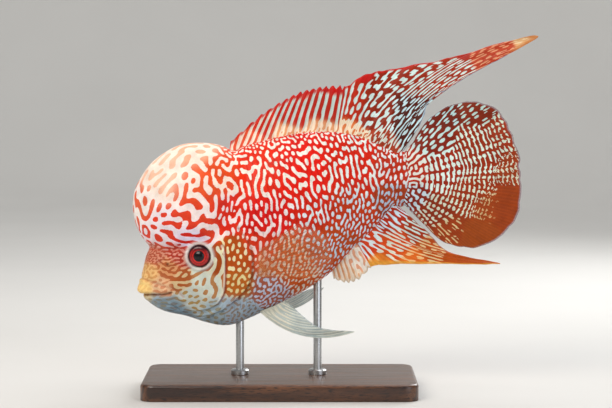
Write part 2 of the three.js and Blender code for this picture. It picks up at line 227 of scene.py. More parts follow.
# Markings. Each zone is (x, z, reach, pale, dark, spacing of the marks, lean towards dark, lie of the marks
# in degrees from upright, how drawn out they are).
BODY_ZONES = [
    # The first two zones lie on the top of the hump: their faint peach marks on warm white are a painted
    # highlight.
    (-60, 178, 11, "#F1DCCB", "#EAA886", 8.6, -0.08, 60, 0.5),
    (-84, 158, 15, "#F4E0D2", "#F0BEA2", 9.0, -0.10, 50, 0.5),
    (-99, 138, 11, "#F4EAE6", "#E4623C", 8.4, -0.08, 0, 0.8),
    (-62, 150, 12, "#F5E2D6", "#E65A2A", 8.8, -0.05, 20, 0.5),
    (-60, 132, 13, "#F3E2E0", "#DE3F20", 9.0, -0.02, 30, 0.5),
    (-84, 122, 11, "#EBE0E8", "#DC3A20", 8.2, -0.06, 80, 0.8),
    (-64, 113, 8, "#DDD3EA", "#C81E16", 6.6, -0.02, 80, 1.2),
    (-42, 158, 11, "#F6DECE", "#E04A18", 6.6, 0.06, 10, 0.8),
    (-36, 132, 9, "#EFDADA", "#D82208", 5.0, 0.09, 0, 0.8),
    (-14, 160, 16, "#F2E7DA", "#E22600", 6.0, 0.09, -16, 3.4),
    (18, 158, 18, "#F0E8DE", "#E01200", 5.1, 0.095, -20, 4.0),
    (48, 160, 15, "#E8EBE6", "#D21E00", 4.6, 0.09, -14, 3.6),
    (-8, 130, 13, "#EEDCDC", "#D40A06", 4.8, 0.115, -8, 2.6),
    (24, 130, 14, "#DFE4E8", "#CC1E00", 4.2, 0.12, -12, 2.8),
    (48, 136, 11, "#CFE0EA", "#C03400", 3.8, 0.12, -6, 1.6),
    (78, 162, 9, "#E6E8E8", "#C02C0A", 4.0, 0.11, 12, 2.0),
    (78, 142, 7, "#AFC0D2", "#A0380F", 3.8, 0.12, 8, 2.2),
    (-12, 106, 10, "#EED2CE", "#CE2E0C", 4.6, 0.12, 10, 1.2),
    (6, 96, 12, "#E0D2C2", "#CA541A", 4.0, 0.12, 14, 0.8),
    (33, 110, 11, "#C3D8E6", "#BE4406", 3.7, 0.16, 18, 0.8),
    (-8, 76, 9, "#C2C8DC", "#A65A46", 4.0, 0.05, 20, 0.6),
    (-28, 57, 9, "#A6B8C8", "#988A80", 4.0, -0.10, 40, 0.4),
    (-30, 100, 8, "#E2D8A8", "#B04A06", 4.9, 0.16, 0, 0.6),
    (-28, 80, 7, "#DACB92", "#B05C14", 4.7, 0.14, 30, 0.4),
    (-47, 96, 6, "#D6D2B6", "#A04408", 6.2, 0.02, 10, 0.8),
    (-54, 78, 7, "#CCD4C8", "#B27C4C", 5.4, -0.16, 30, 0.8),
    (-62, 68, 7, "#BCC4BE", "#A88A54", 5.2, -0.13, 60, 0.8),
    (-48, 57, 7, "#9CB0BC", "#94907C", 4.6, -0.12, 75, 0.8),
    (-72, 101, 6, "#CE8674", "#A43020", 3.5, 0.04, 85, 2.0),
    (-90, 100, 6, "#D08A70", "#AC5038", 3.3, 0.04, 85, 2.0),
    (-80, 90, 6, "#D29464", "#AC5A30", 3.6, 0.02, 80, 2.0),
    (-70, 82, 5, "#CDB488", "#A45424", 5.0, -0.02, 75, 1.4),
    (-93, 87, 5, "#E6BA7C", "#D29A5E", 4.2, -0.02, 70, 1.4),
    (-100, 76, 6, "#F0CC84", "#E8BC74", 4.2, -0.10, 85, 1.2),
    (-85, 78, 5, "#E2B890", "#CC8A62", 4.2, -0.04, 80, 1.2),
    (-95, 68, 3, "#C8BC9C", "#B8A078", 4.4, -0.10, 85, 0.8),
    (-88, 63, 6, "#8EA1AE", "#8C8C7E", 4.4, -0.12, 85, 1.6),
    (-72, 57, 7, "#7E97A8", "#787C7E", 4.4, -0.12, 85, 1.6),
]
# Dark bands drawn on the cheek: under the eye, and ahead of the cheek's hind edge.
BANDS = [
    [(-84, 85.6), (-76, 83.4), (-68, 83.4), (-58.3, 87.1), (-48.4, 94.5)],
    [(-46.5, 104), (-42.6, 97), (-44.2, 90), (-48, 83), (-45.5, 76), (-47, 70)],
]


def zoned(zones, x, z):
    """Blends what the zones say at each point: pale and dark colour, spacing, lean, lie and draw."""
    anchors = np.array([zone[:3] for zone in zones], float)
    gap = ((x[:, None] - anchors[:, 0]) ** 2 + (z[:, None] - anchors[:, 1]) ** 2) / anchors[:, 2] ** 2
    share = np.exp(-1.6 * (gap - gap.min(1, keepdims=True)))
    share /= share.sum(1, keepdims=True)
    pale = share @ np.array([linear(zone[3]) for zone in zones])
    dark = share @ np.array([linear(zone[4]) for zone in zones])
    spacing, lean, lie, draw = (share @ np.array([zone[k] for zone in zones], float) for k in (5, 6, 7, 8))
    return pale, dark, spacing, lean, np.radians(lie), draw


def neighbour_table(mesh, diagonals=False):
    """Each vertex's neighbours in a row, filled up with the vertex itself."""
    edges = np.empty(len(mesh.edges) * 2, np.int32)
    mesh.edges.foreach_get("vertices", edges)
    pairs = [edges.reshape(-1, 2)]
    if diagonals:
        corners = np.empty(len(mesh.loops), np.int32)
        mesh.loops.foreach_get("vertex_index", corners)
        start = np.empty(len(mesh.polygons), np.int32)
        mesh.polygons.foreach_get("loop_start", start)
        total = np.empty(len(mesh.polygons), np.int32)
        mesh.polygons.foreach_get("loop_total", total)
        squares = corners[start[total == 4][:, None] + np.arange(4)]
        pairs += [squares[:, [0, 2]], squares[:, [1, 3]]]
    edges = np.concatenate(pairs)
    both = np.concatenate([edges, edges[:, ::-1]])
    both = both[np.argsort(both[:, 0], kind="stable")]
    count = np.bincount(both[:, 0], minlength=len(mesh.vertices))
    start = np.cumsum(count) - count
    column = np.arange(len(both)) - start[both[:, 0]]
    table = np.repeat(np.arange(len(mesh.vertices))[:, None], count.max(), 1)
    table[both[:, 0], column] = both[:, 1]
    return table


def grow_marks(mesh, spacing, lean, grain, draw, seed, steps=64, rounds=14):
    """Grows worm and spot marks over a mesh, as pigment cells do: like cells near by and unlike ones further
    off. The result runs from -1 in the pale to 1 in the dark."""
    table = neighbour_table(mesh, diagonals=True)
    co = read(mesh)
    gap = co[table] - co[:, None]
    squared = (gap**2).sum(-1)
    own = squared < 1e-12
    squared[own] = 1
    lined = (np.einsum("ijk,ik->ij", gap, grain) ** 2 / squared) ** 2
    pull = 0.5 * (1 + 6 * draw[:, None] * lined) / (1 + 0.75 * draw[:, None]) / squared
    pull[own] = 0
    pull *= ((0.25 * spacing) ** 2 / (2 * steps))[:, None]
    pull *= np.minimum(1, 0.9 / np.maximum(pull.sum(1), 1e-9))[:, None]
    pull = pull.astype(np.float32)
    total = pull.sum(1)

    def spread(u, times):
        for _ in range(times):
            u = u + np.einsum("ij,ij->i", pull, u[table]) - total * u
        return u

    u = np.random.default_rng(seed).uniform(-1, 1, len(co)).astype(np.float32)
    lean = lean.astype(np.float32)
    for _ in range(rounds):
        near = spread(u, steps // 4)
        far = spread(near, steps - steps // 4)
        u = np.clip(5 * (near - far + lean), -1, 1)
    return spread(u, 1)


# The skin: body, hump and lips are joined as one surface, then the head is carved.
def ball_mesh(name, segments, rings, rule):
    """A ball, moved by a rule of its share from pole to pole and its turn round that line."""
    bm = bmesh.new()
    bmesh.ops.create_uvsphere(bm, u_segments=segments, v_segments=rings, radius=1)
    mesh = mesh_from(bm, name)
    ball = read(mesh) * MM
    share = np.arccos(np.clip(-ball[:, 2], -1, 1)) / math.pi
    write(mesh, rule(share, np.arctan2(ball[:, 1], ball[:, 0]), ball))
    return mesh


def body_rule(share, turn, ball):
    at_pole = np.hypot(ball[:, 0], ball[:, 1]) < 1e-6
    middle = along(FLANK, share)
    tip = np.stack([middle[:, 0], swim_bend(middle[:, 0]), middle[:, 1]], 1)
    return np.where(at_pole[:, None], tip, body_point(share, np.arctan2(np.sin(turn), np.cos(turn))))


def hump_rule(share, turn, ball):
    tilt = math.radians(HUMP["tilt"])
    x, y, z = ball[:, 0] * HUMP["long"], ball[:, 1] * HUMP["wide"], ball[:, 2] * HUMP["high"]
    return np.stack([
        HUMP["x"] + x * math.cos(tilt) - z * math.sin(tilt),
        y + swim_bend(HUMP["x"]),
        HUMP["z"] + x * math.sin(tilt) + z * math.cos(tilt),
    ], 1)


def lip_rule(front, corner, radius):
    middle = ((front[0] + corner[0]) / 2 - 3, (front[1] + corner[1]) / 2)
    half = [(corner[0], -1.45, corner[1]), (middle[0], -1.02, middle[1]), (front[0] + 1.2, -0.42, front[1])]
    route = half + [(x, -wide, z) for x, wide, z in reversed(half)]
    route = [(x, wide * LIP_HALF_WIDTH, z) for x, wide, z in route]

    def rule(share, turn, ball):
        at = along(route, share)
        way = unit(along(route, share + 0.01) - along(route, share - 0.01))
        level = unit(np.cross(way, (0, 0, 1.0)))
        rise = np.cross(level, way)
        round_it = (radius * np.sin(math.pi * np.clip(share, 0, 1)) ** 0.45)[:, None]
        co = at + round_it * (level * np.cos(turn)[:, None] + rise * np.sin(turn)[:, None])
        co[:, 1] += swim_bend(co[:, 0])
        return co

    return rule


def joined_shell(name, voxel):
    """The union of the body's balls as one even mesh with squares of about the given size."""
    bm = bmesh.new()
    parts = [("body", 72, 110, body_rule), ("hump", 64, 48, hump_rule)]
    parts += [(which + "_lip", 20, 48, lip_rule(*LIPS[which])) for which in LIPS]
    for part, segments, rings, rule in parts:
        mesh = ball_mesh(part, segments, rings, rule)
        bm.from_mesh(mesh)
        bpy.data.meshes.remove(mesh)
    bmesh.ops.recalc_face_normals(bm, faces=bm.faces[:])
    mesh = mesh_from(bm, name)
    raw = link(name + "_raw", mesh)
    cover = raw.modifiers.new("cover", "REMESH")
    cover.mode = "VOXEL"
    cover.voxel_size = voxel * MM
    bpy.context.view_layer.update()
    made = bpy.data.meshes.new_from_object(raw.evaluated_get(bpy.context.evaluated_depsgraph_get()))
    bpy.data.objects.remove(raw)
    bpy.data.meshes.remove(mesh)
    made.name = name
    return made


def refine_face(mesh):
    """Halves the squares of the head, where the carving is finest."""
    bm = bmesh.new()
    bm.from_mesh(mesh)
    edges = set()
    for face in bm.faces:
        middle = face.calc_center_median() / MM
        if middle.x < -17 and middle.z < 124:
            edges.update(face.edges)
    bmesh.ops.subdivide_edges(bm, edges=list(edges), cuts=1, use_grid_fill=True)
    bm.to_mesh(mesh)
    bm.free()


def relax(mesh, share, times):
    """Moves each vertex part of the way to the middle of its neighbours, some times over."""
    table = neighbour_table(mesh)
    count = (table != np.arange(len(table))[:, None]).sum(1)
    co = read(mesh)
    for _ in range(times):
        middle = (co[table].sum(1) - co * (table.shape[1] - count)[:, None]) / count[:, None]
        co += (middle - co) * share[:, None]
    write(mesh, co)


def soften(mesh):
    """Smooths the whole skin a little, and the hump's hind side into the back."""
    relax(mesh, np.full(len(mesh.vertices), 0.5), 6)
    co = read(mesh)
    seam = along([(-31, 163), (-29, 146), (-32, 126)], np.linspace(0, 1, 40))
    gap = np.hypot(co[:, :1] - seam[:, 0], co[:, 2:] - seam[:, 1]).min(1)
    relax(mesh, 0.5 * (1 - smooth(5, 13, gap)), 70)


def step_up(gap, height, fade, groove):
    """A plate's edge: full height at the edge, fading away ahead of it, with a groove behind it."""
    plate = height * np.exp(-np.maximum(-gap, 0) / fade) * smooth(0.45, -0.45, gap)
    return plate - groove * bell(gap - 1.0, 1.0)


def plates_rise(x, z, side):
    """The raised edges of gill cover and cheek, with a groove behind each."""
    cover = step_up(line_gap(x, z, GILL_EDGE), 1.4, 8, 0.5) * smooth(124, 116, z) * smooth(-72, -50, x)
    cheek = step_up(line_gap(x, z, CHEEK_EDGE), 0.8, 5, 0.5) * smooth(109, 101, z) * smooth(-74, -60, x)
    return (cover + cheek) * side


def mouth_rise(x, z, side):
    """The slit of the mouth between full lips, the fold over the upper lip, and the folds under the jaw."""
    mouth = line_gap(x, z, MOUTH_LINE)
    rise = (0.4 * bell(np.abs(mouth) - 2.8, 1.4) - 2.1 * bell(mouth, 0.65)) * smooth(-73.5, -79, x)
    fold = line_gap(x, z, MAXILLA)
    rise += (0.7 * bell(fold + 2.0, 1.6) - 0.75 * bell(fold, 0.9)) * np.maximum(side, smooth(-90, -96, x))
    fold = line_gap(x, z, JAW_FOLD)
    rise += (0.25 * bell(fold - 1.6, 1.0) - 0.5 * bell(fold, 0.8)) * side
    for step in (1, 2, 3):
        ray = line_gap(x, z, [(px + 0.9 * step, pz - 2.5 * step) for px, pz in CHEEK_EDGE[4:]])
        rise -= 0.4 * bell(ray, 0.6) * side * smooth(-72, -64, x) * smooth(-36, -43, x)
    return rise


def sockets_rise(x, z, side):
    """The rim and pit of the eye socket, the nostril, and the pores."""
    eye = np.hypot(x - EYE["x"], z - EYE["z"])
    rise = 0.95 * bell(eye - 9.3, 1.25) - 3.4 * smooth(7.9, 6.9, eye) - 0.3 * bell(eye - 11.8, 0.8)
    nose = np.hypot(x - NOSTRIL[0], z - NOSTRIL[1])
    rise += 0.45 * bell(nose - 1.5, 0.55) - 1.5 * bell(nose, 0.75)
    for px, pz in PORES:
        rise -= 0.4 * bell(np.hypot(x - px, z - pz), 0.55)
    return rise * side


UNDER_SCALES = 0.2  # how far the skin is sunk where scales lie on it


def carve(mesh):
    """Raises and sinks the features of the head, wrinkles the brow, and gives the hump its uneven swell."""
    co, out = read(mesh), outward(mesh)
    x, z = co[:, 0], co[:, 2]
    side = smooth(3, 9, np.abs(co[:, 1] - swim_bend(x)))
    push = -UNDER_SCALES * smooth(-19, -12, x) * smooth(1.0, 1.06, hump_depth(co))
    head = np.nonzero((x < 2) & (z < 130))[0]
    hx, hz, hs = x[head], z[head], side[head]
    rise = plates_rise(hx, hz, hs) + mouth_rise(hx, hz, hs) + sockets_rise(hx, hz, hs)
    rise += 0.8 * bell(np.hypot(hx + 15, (hz - 93) * 0.6), 6) * hs  # the muscle at the pectoral fin's root
    brow = smooth(-98, -90, hx) * smooth(-62, -70, hx) * smooth(92, 96, hz) * smooth(108, 104, hz)
    rise += 0.18 * np.sin(hz * 2.4 + 0.9 * np.sin(hx * 0.35)) * brow
    push[head] += rise
    swell = np.sin(x * 0.21 + 1) * np.sin(z * 0.17) + 0.6 * np.sin(x * 0.11 - z * 0.23 + 2)
    push += 0.22 * swell * smooth(1.12, 1.0, hump_depth(co)) * smooth(105, 120, z)
    write(mesh, co + out * push[:, None])


def tint(pale, dark, colour, share):
    """Moves both colours of each vertex towards one, by its share."""
    for target in (pale, dark):
        target += (linear(colour) - target) * share[:, None]


def accents(co, pale, dark):
    """Small touches over the zones: ring round the eye, edges of cheek and mouth, crease under the hump."""
    x, z = co[:, 0], co[:, 2]
    head = (x < 2) & (z < 130)

    def gap_to(line):
        gap = np.full(len(co), 99.0)
        gap[head] = line_gap(x[head], z[head], line)
        return gap

    def wash(colour, share):
        tint(pale, dark, colour, share)

    low = smooth(62, 70, z)
    crease = bell(hump_depth(co) - 1.03, 0.02) * smooth(-30, -50, x) * smooth(118, 108, z)
    wash("#B5402C", 0.5 * crease)
    wash("#EDEBDC", 0.7 * bell(gap_to(CHEEK_EDGE) + 0.7, 0.6) * low)
    wash("#8E2A1A", 0.7 * bell(gap_to(CHEEK_EDGE) - 0.8, 0.6) * low)
    wash("#A4532C", 0.45 * bell(gap_to(GILL_EDGE) - 0.6, 0.9) * low)
    wash("#7A4630", 0.75 * bell(gap_to(MOUTH_LINE), 0.7) * smooth(-74, -80, x))
    wash("#A8674A", 0.5 * bell(gap_to(MAXILLA), 0.8))
    wash("#5A2A20", 0.8 * bell(np.hypot(x - NOSTRIL[0], z - NOSTRIL[1]), 0.9))
    eye = np.hypot(x - EYE["x"], z - EYE["z"])
    wash("#D2D3CF", 0.85 * bell(eye - 9.4, 1.4))
    wash("#3A1A1E", 0.8 * smooth(8.6, 8.0, eye))


PATTERN_CELL = 0.54  # squares that the marks grow on
SKIN_CELL = 1.15  # squares of the skin, halved on the head


class Markings:
    """The grown marks of the whole body, which skin and scales read alike."""

    def __init__(self):
        shell = joined_shell("pattern", PATTERN_CELL)
        relax(shell, np.full(len(shell.vertices), 0.5), 4)
        co = read(shell)
        _, _, spacing, lean, lie, draw = zoned(BODY_ZONES, co[:, 0], co[:, 2])
        x, z = co[:, 0], co[:, 2]
        # Darker and paler patches, and coarser and finer ones, so that no area is as even as print.
        lean += 0.03 * (np.sin(x * 0.23 + 1.7 * np.sin(z * 0.13)) + np.sin(z * 0.31 + x * 0.09))
        spacing *= 1 + 0.07 * np.sin(x * 0.17 - z * 0.21 + 2)
        head = np.nonzero((x < -35) & (z < 115))[0]
        for band in BANDS:
            lean[head] += 0.24 * bell(line_gap(x[head], z[head], band), 1.3)
        grain = np.stack([np.sin(lie), np.zeros(len(co)), np.cos(lie)], 1)
        self.marks = grow_marks(shell, spacing, lean, grain, draw, seed=11)
        self.tree = KDTree(len(co))
        for i, point in enumerate(co):
            self.tree.insert(point, i)
        self.tree.balance()
        bpy.data.meshes.remove(shell)

    def at(self, co):
        """Marks at any points, from the three nearest grown ones."""
        found = [self.tree.find_n(point, 3) for point in co]
        index = np.array([[hit[1] for hit in hits] for hits in found])
        weight = 1 / (np.array([[hit[2] for hit in hits] for hits in found]) ** 2 + 0.02)
        return (self.marks[index] * weight).sum(1) / weight.sum(1)

    def dress(self, mesh):
        """Paints a mesh of skin or scales."""
        co = read(mesh)
        pale, dark, *_ = zoned(BODY_ZONES, co[:, 0], co[:, 2])
        accents(co, pale, dark)
        paint(mesh, pale=pale, dark=dark, marks=self.at(co))


def make_skin(material, markings):
    mesh = joined_shell("skin", SKIN_CELL)
    soften(mesh)
    refine_face(mesh)
    relax(mesh, np.full(len(mesh.vertices), 0.5), 2)
    carve(mesh)
    markings.dress(mesh)
    show(
        "skin", mesh, material, "body_skin", "head", "hump", "upper_jaw", "lower_jaw", "gill_cover_left",
        "gill_cover_right", "trunk", "tail_stalk",
    )


# The coat of scales: overlapping round plates in rows from the gill opening to the tail, on both sides.
SCALE_ROWS = 22
SCALE_PITCH = (5.4, 3.6)  # along a row, at the snout and at the tail
SCALE_LONG = 0.92  # half a scale's length, in pitches
SCALE_TALL = 0.84  # half a scale's height, in rows
SCALE_CELLS = 12  # squares along and across one scale
SCALE_START = 40  # how far behind the snout the first column stands
PATCH_HALF = 0.47  # half a scale's patch of the map, in pitches and rows
FLANK_ROWS = 101  # steps from belly to back in the table of the flank


class Coat:
    """The flank as a sheet: how far along it from the snout, and the height share from belly to back."""

    def __init__(self):
        self.shares = np.linspace(0.02, 0.985, 260)
        turns = np.linspace(-math.pi / 2, math.pi / 2, 161)
        grid = body_point(*np.meshgrid(self.shares, turns, indexing="ij"))
        middle = grid[:, len(turns) // 2]
        steps = np.linalg.norm(np.diff(middle, axis=0), axis=1)
        self.runs = np.concatenate([[0], np.cumsum(steps)])
        across = np.linalg.norm(np.diff(grid, axis=1), axis=2)
        climb = np.concatenate([np.zeros((len(grid), 1)), np.cumsum(across, 1)], 1)
        climb /= climb[:, -1:]
        heights = np.linspace(0, 1, FLANK_ROWS)
        self.turns = np.array([np.interp(heights, row, turns) for row in climb])

    def point(self, run, height, side):
        share = np.interp(run, self.runs, self.shares)
        first, second = self.shares[:2]
        row = np.clip((share - first) / (second - first), 0, len(self.shares) - 1.001)
        column = np.clip(height, 0, 1) * (FLANK_ROWS - 1.001)
        i, j = row.astype(int), column.astype(int)
        f, g = row - i, column - j
        t = self.turns
        low = t[i, j] * (1 - f) + t[i + 1, j] * f
        high = t[i, j + 1] * (1 - f) + t[i + 1, j + 1] * f
        turn = low * (1 - g) + high * g
        turn = turn if side > 0 else math.pi - turn
        return body_point(share, turn)

    def lifted(self, run, height, side, lift):
        co = self.point(run, height, side)
        ahead, above = 0.3, 0.003
        forth = self.point(run + ahead, height, side) - self.point(run - ahead, height, side)
        up = self.point(run, height + above, side) - self.point(run, height - above, side)
        return co + unit(np.cross(up, forth) * side) * lift[..., None]


def scale_places(coat):
    """Where the scales' middles go, as run and height share, with each one's pitch."""
    places = []
    run = SCALE_START
    column = 0
    last = coat.runs[-1]
    while run < last - 1:
        pitch = SCALE_PITCH[0] + (SCALE_PITCH[1] - SCALE_PITCH[0]) * run / last
        for row in range(SCALE_ROWS):
            if (row + column) % 2 == 0:
                places.append((run, (row + 0.5) / SCALE_ROWS, pitch))
        run += pitch / 2
        column += 1
    return np.array(places)


def plates(name, count):
    """Copies of one square plate, a grid that faces down and is closed by a point above, and the places of
    one copy's vertices from -1 to 1. Laid on a flank, the plates face outwards."""
    bm = bmesh.new()
    bmesh.ops.create_grid(bm, x_segments=SCALE_CELLS, y_segments=SCALE_CELLS, size=1)
    rim = [edge for edge in bm.edges if edge.is_boundary]
    skirt = bmesh.ops.extrude_edge_only(bm, edges=rim)["geom"]
    foot = [item for item in skirt if isinstance(item, bmesh.types.BMVert)]
    bmesh.ops.pointmerge(bm, verts=foot, merge_co=(0, 0, 1))
    bmesh.ops.recalc_face_normals(bm, faces=bm.faces[:])
    plate = mesh_from(bm, "plate")
    bm = bmesh.new()
    for _ in range(count):
        bm.from_mesh(plate)
    spots = read(plate) * MM
    bpy.data.meshes.remove(plate)
    return mesh_from(bm, name), spots


def scale_mesh(name, coat, places, side):
    """Round plates, each sunk at its front and free at its hind edge, closed underneath."""
    mesh, spots = plates(name, len(places))
    top = spots[:, 2] < 0.5
    p, q = 2 * np.clip((spots[:, 0] + 1) / 2, 0, 1) ** 0.8 - 1, side * spots[:, 1]
    fore = np.where(top, p * np.sqrt(1 - q * q / 2), 0)
    wide = np.where(top, q * np.sqrt(1 - p * p / 2), 0)
    jitter = np.random.default_rng(5).uniform(-1, 1, (len(places), 2))
    run = places[:, :1] + fore * places[:, 2:] * (SCALE_LONG + 0.03 * jitter[:, :1])
    height = places[:, 1:2] + wide * SCALE_TALL * (1 + 0.03 * jitter[:, 1:]) / SCALE_ROWS
    lift = -0.3 + 0.25 * (fore + 1) - 0.05 * wide**2 + 0.05 * (1 - fore**2 - wide**2)
    lift = np.where(top, lift, -0.7) * places[:, 2:] / SCALE_PITCH[0]
    write(mesh, coat.lifted(run, height, side, lift).reshape(-1, 3))
    # Each scale's patch of the map lies at its root's place on the flank rolled out flat, at half its size.
    u = (places[:, :1] + fore * PATCH_HALF * places[:, 2:]) / coat.runs[-1]
    v = places[:, 1:2] + wide * PATCH_HALF / SCALE_ROWS
    corners = np.empty(len(mesh.loops), np.int32)
    mesh.loops.foreach_get("vertex_index", corners)
    layer = mesh.uv_layers.new(name="OFBake")
    layer.uv.foreach_set("vector", np.stack([u, v], -1).reshape(-1, 2)[corners].astype(np.float32).ravel())
    return mesh


def behind_gills(co):
    """True where scales grow: behind the gill cover and below the hump."""
    edge = line_gap(co[:, 0], co[:, 2], GILL_EDGE)
    low = co[:, 2] < 119
    behind = np.where(low, (edge > 1.5) & (co[:, 0] > -50), co[:, 0] > -34)
    return behind & (hump_depth(co) > 1.05) & (co[:, 0] < 93)


def make_scales(material, markings):
    coat = Coat()
    places = scale_places(coat)
    for side, word in ((-1, "left"), (1, "right")):
        middle = coat.point(places[:, 0], places[:, 1], side)
        kept = places[behind_gills(middle)]
        order = kept[np.argsort(kept[:, 0])]
        half = len(order) // 2
        for part, chosen in (("front", order[:half]), ("rear", order[half:])):
            mesh = scale_mesh("scales_" + word + "_" + part, coat, chosen, side)
            markings.dress(mesh)
            show(mesh.name, mesh, material, "body_skin")


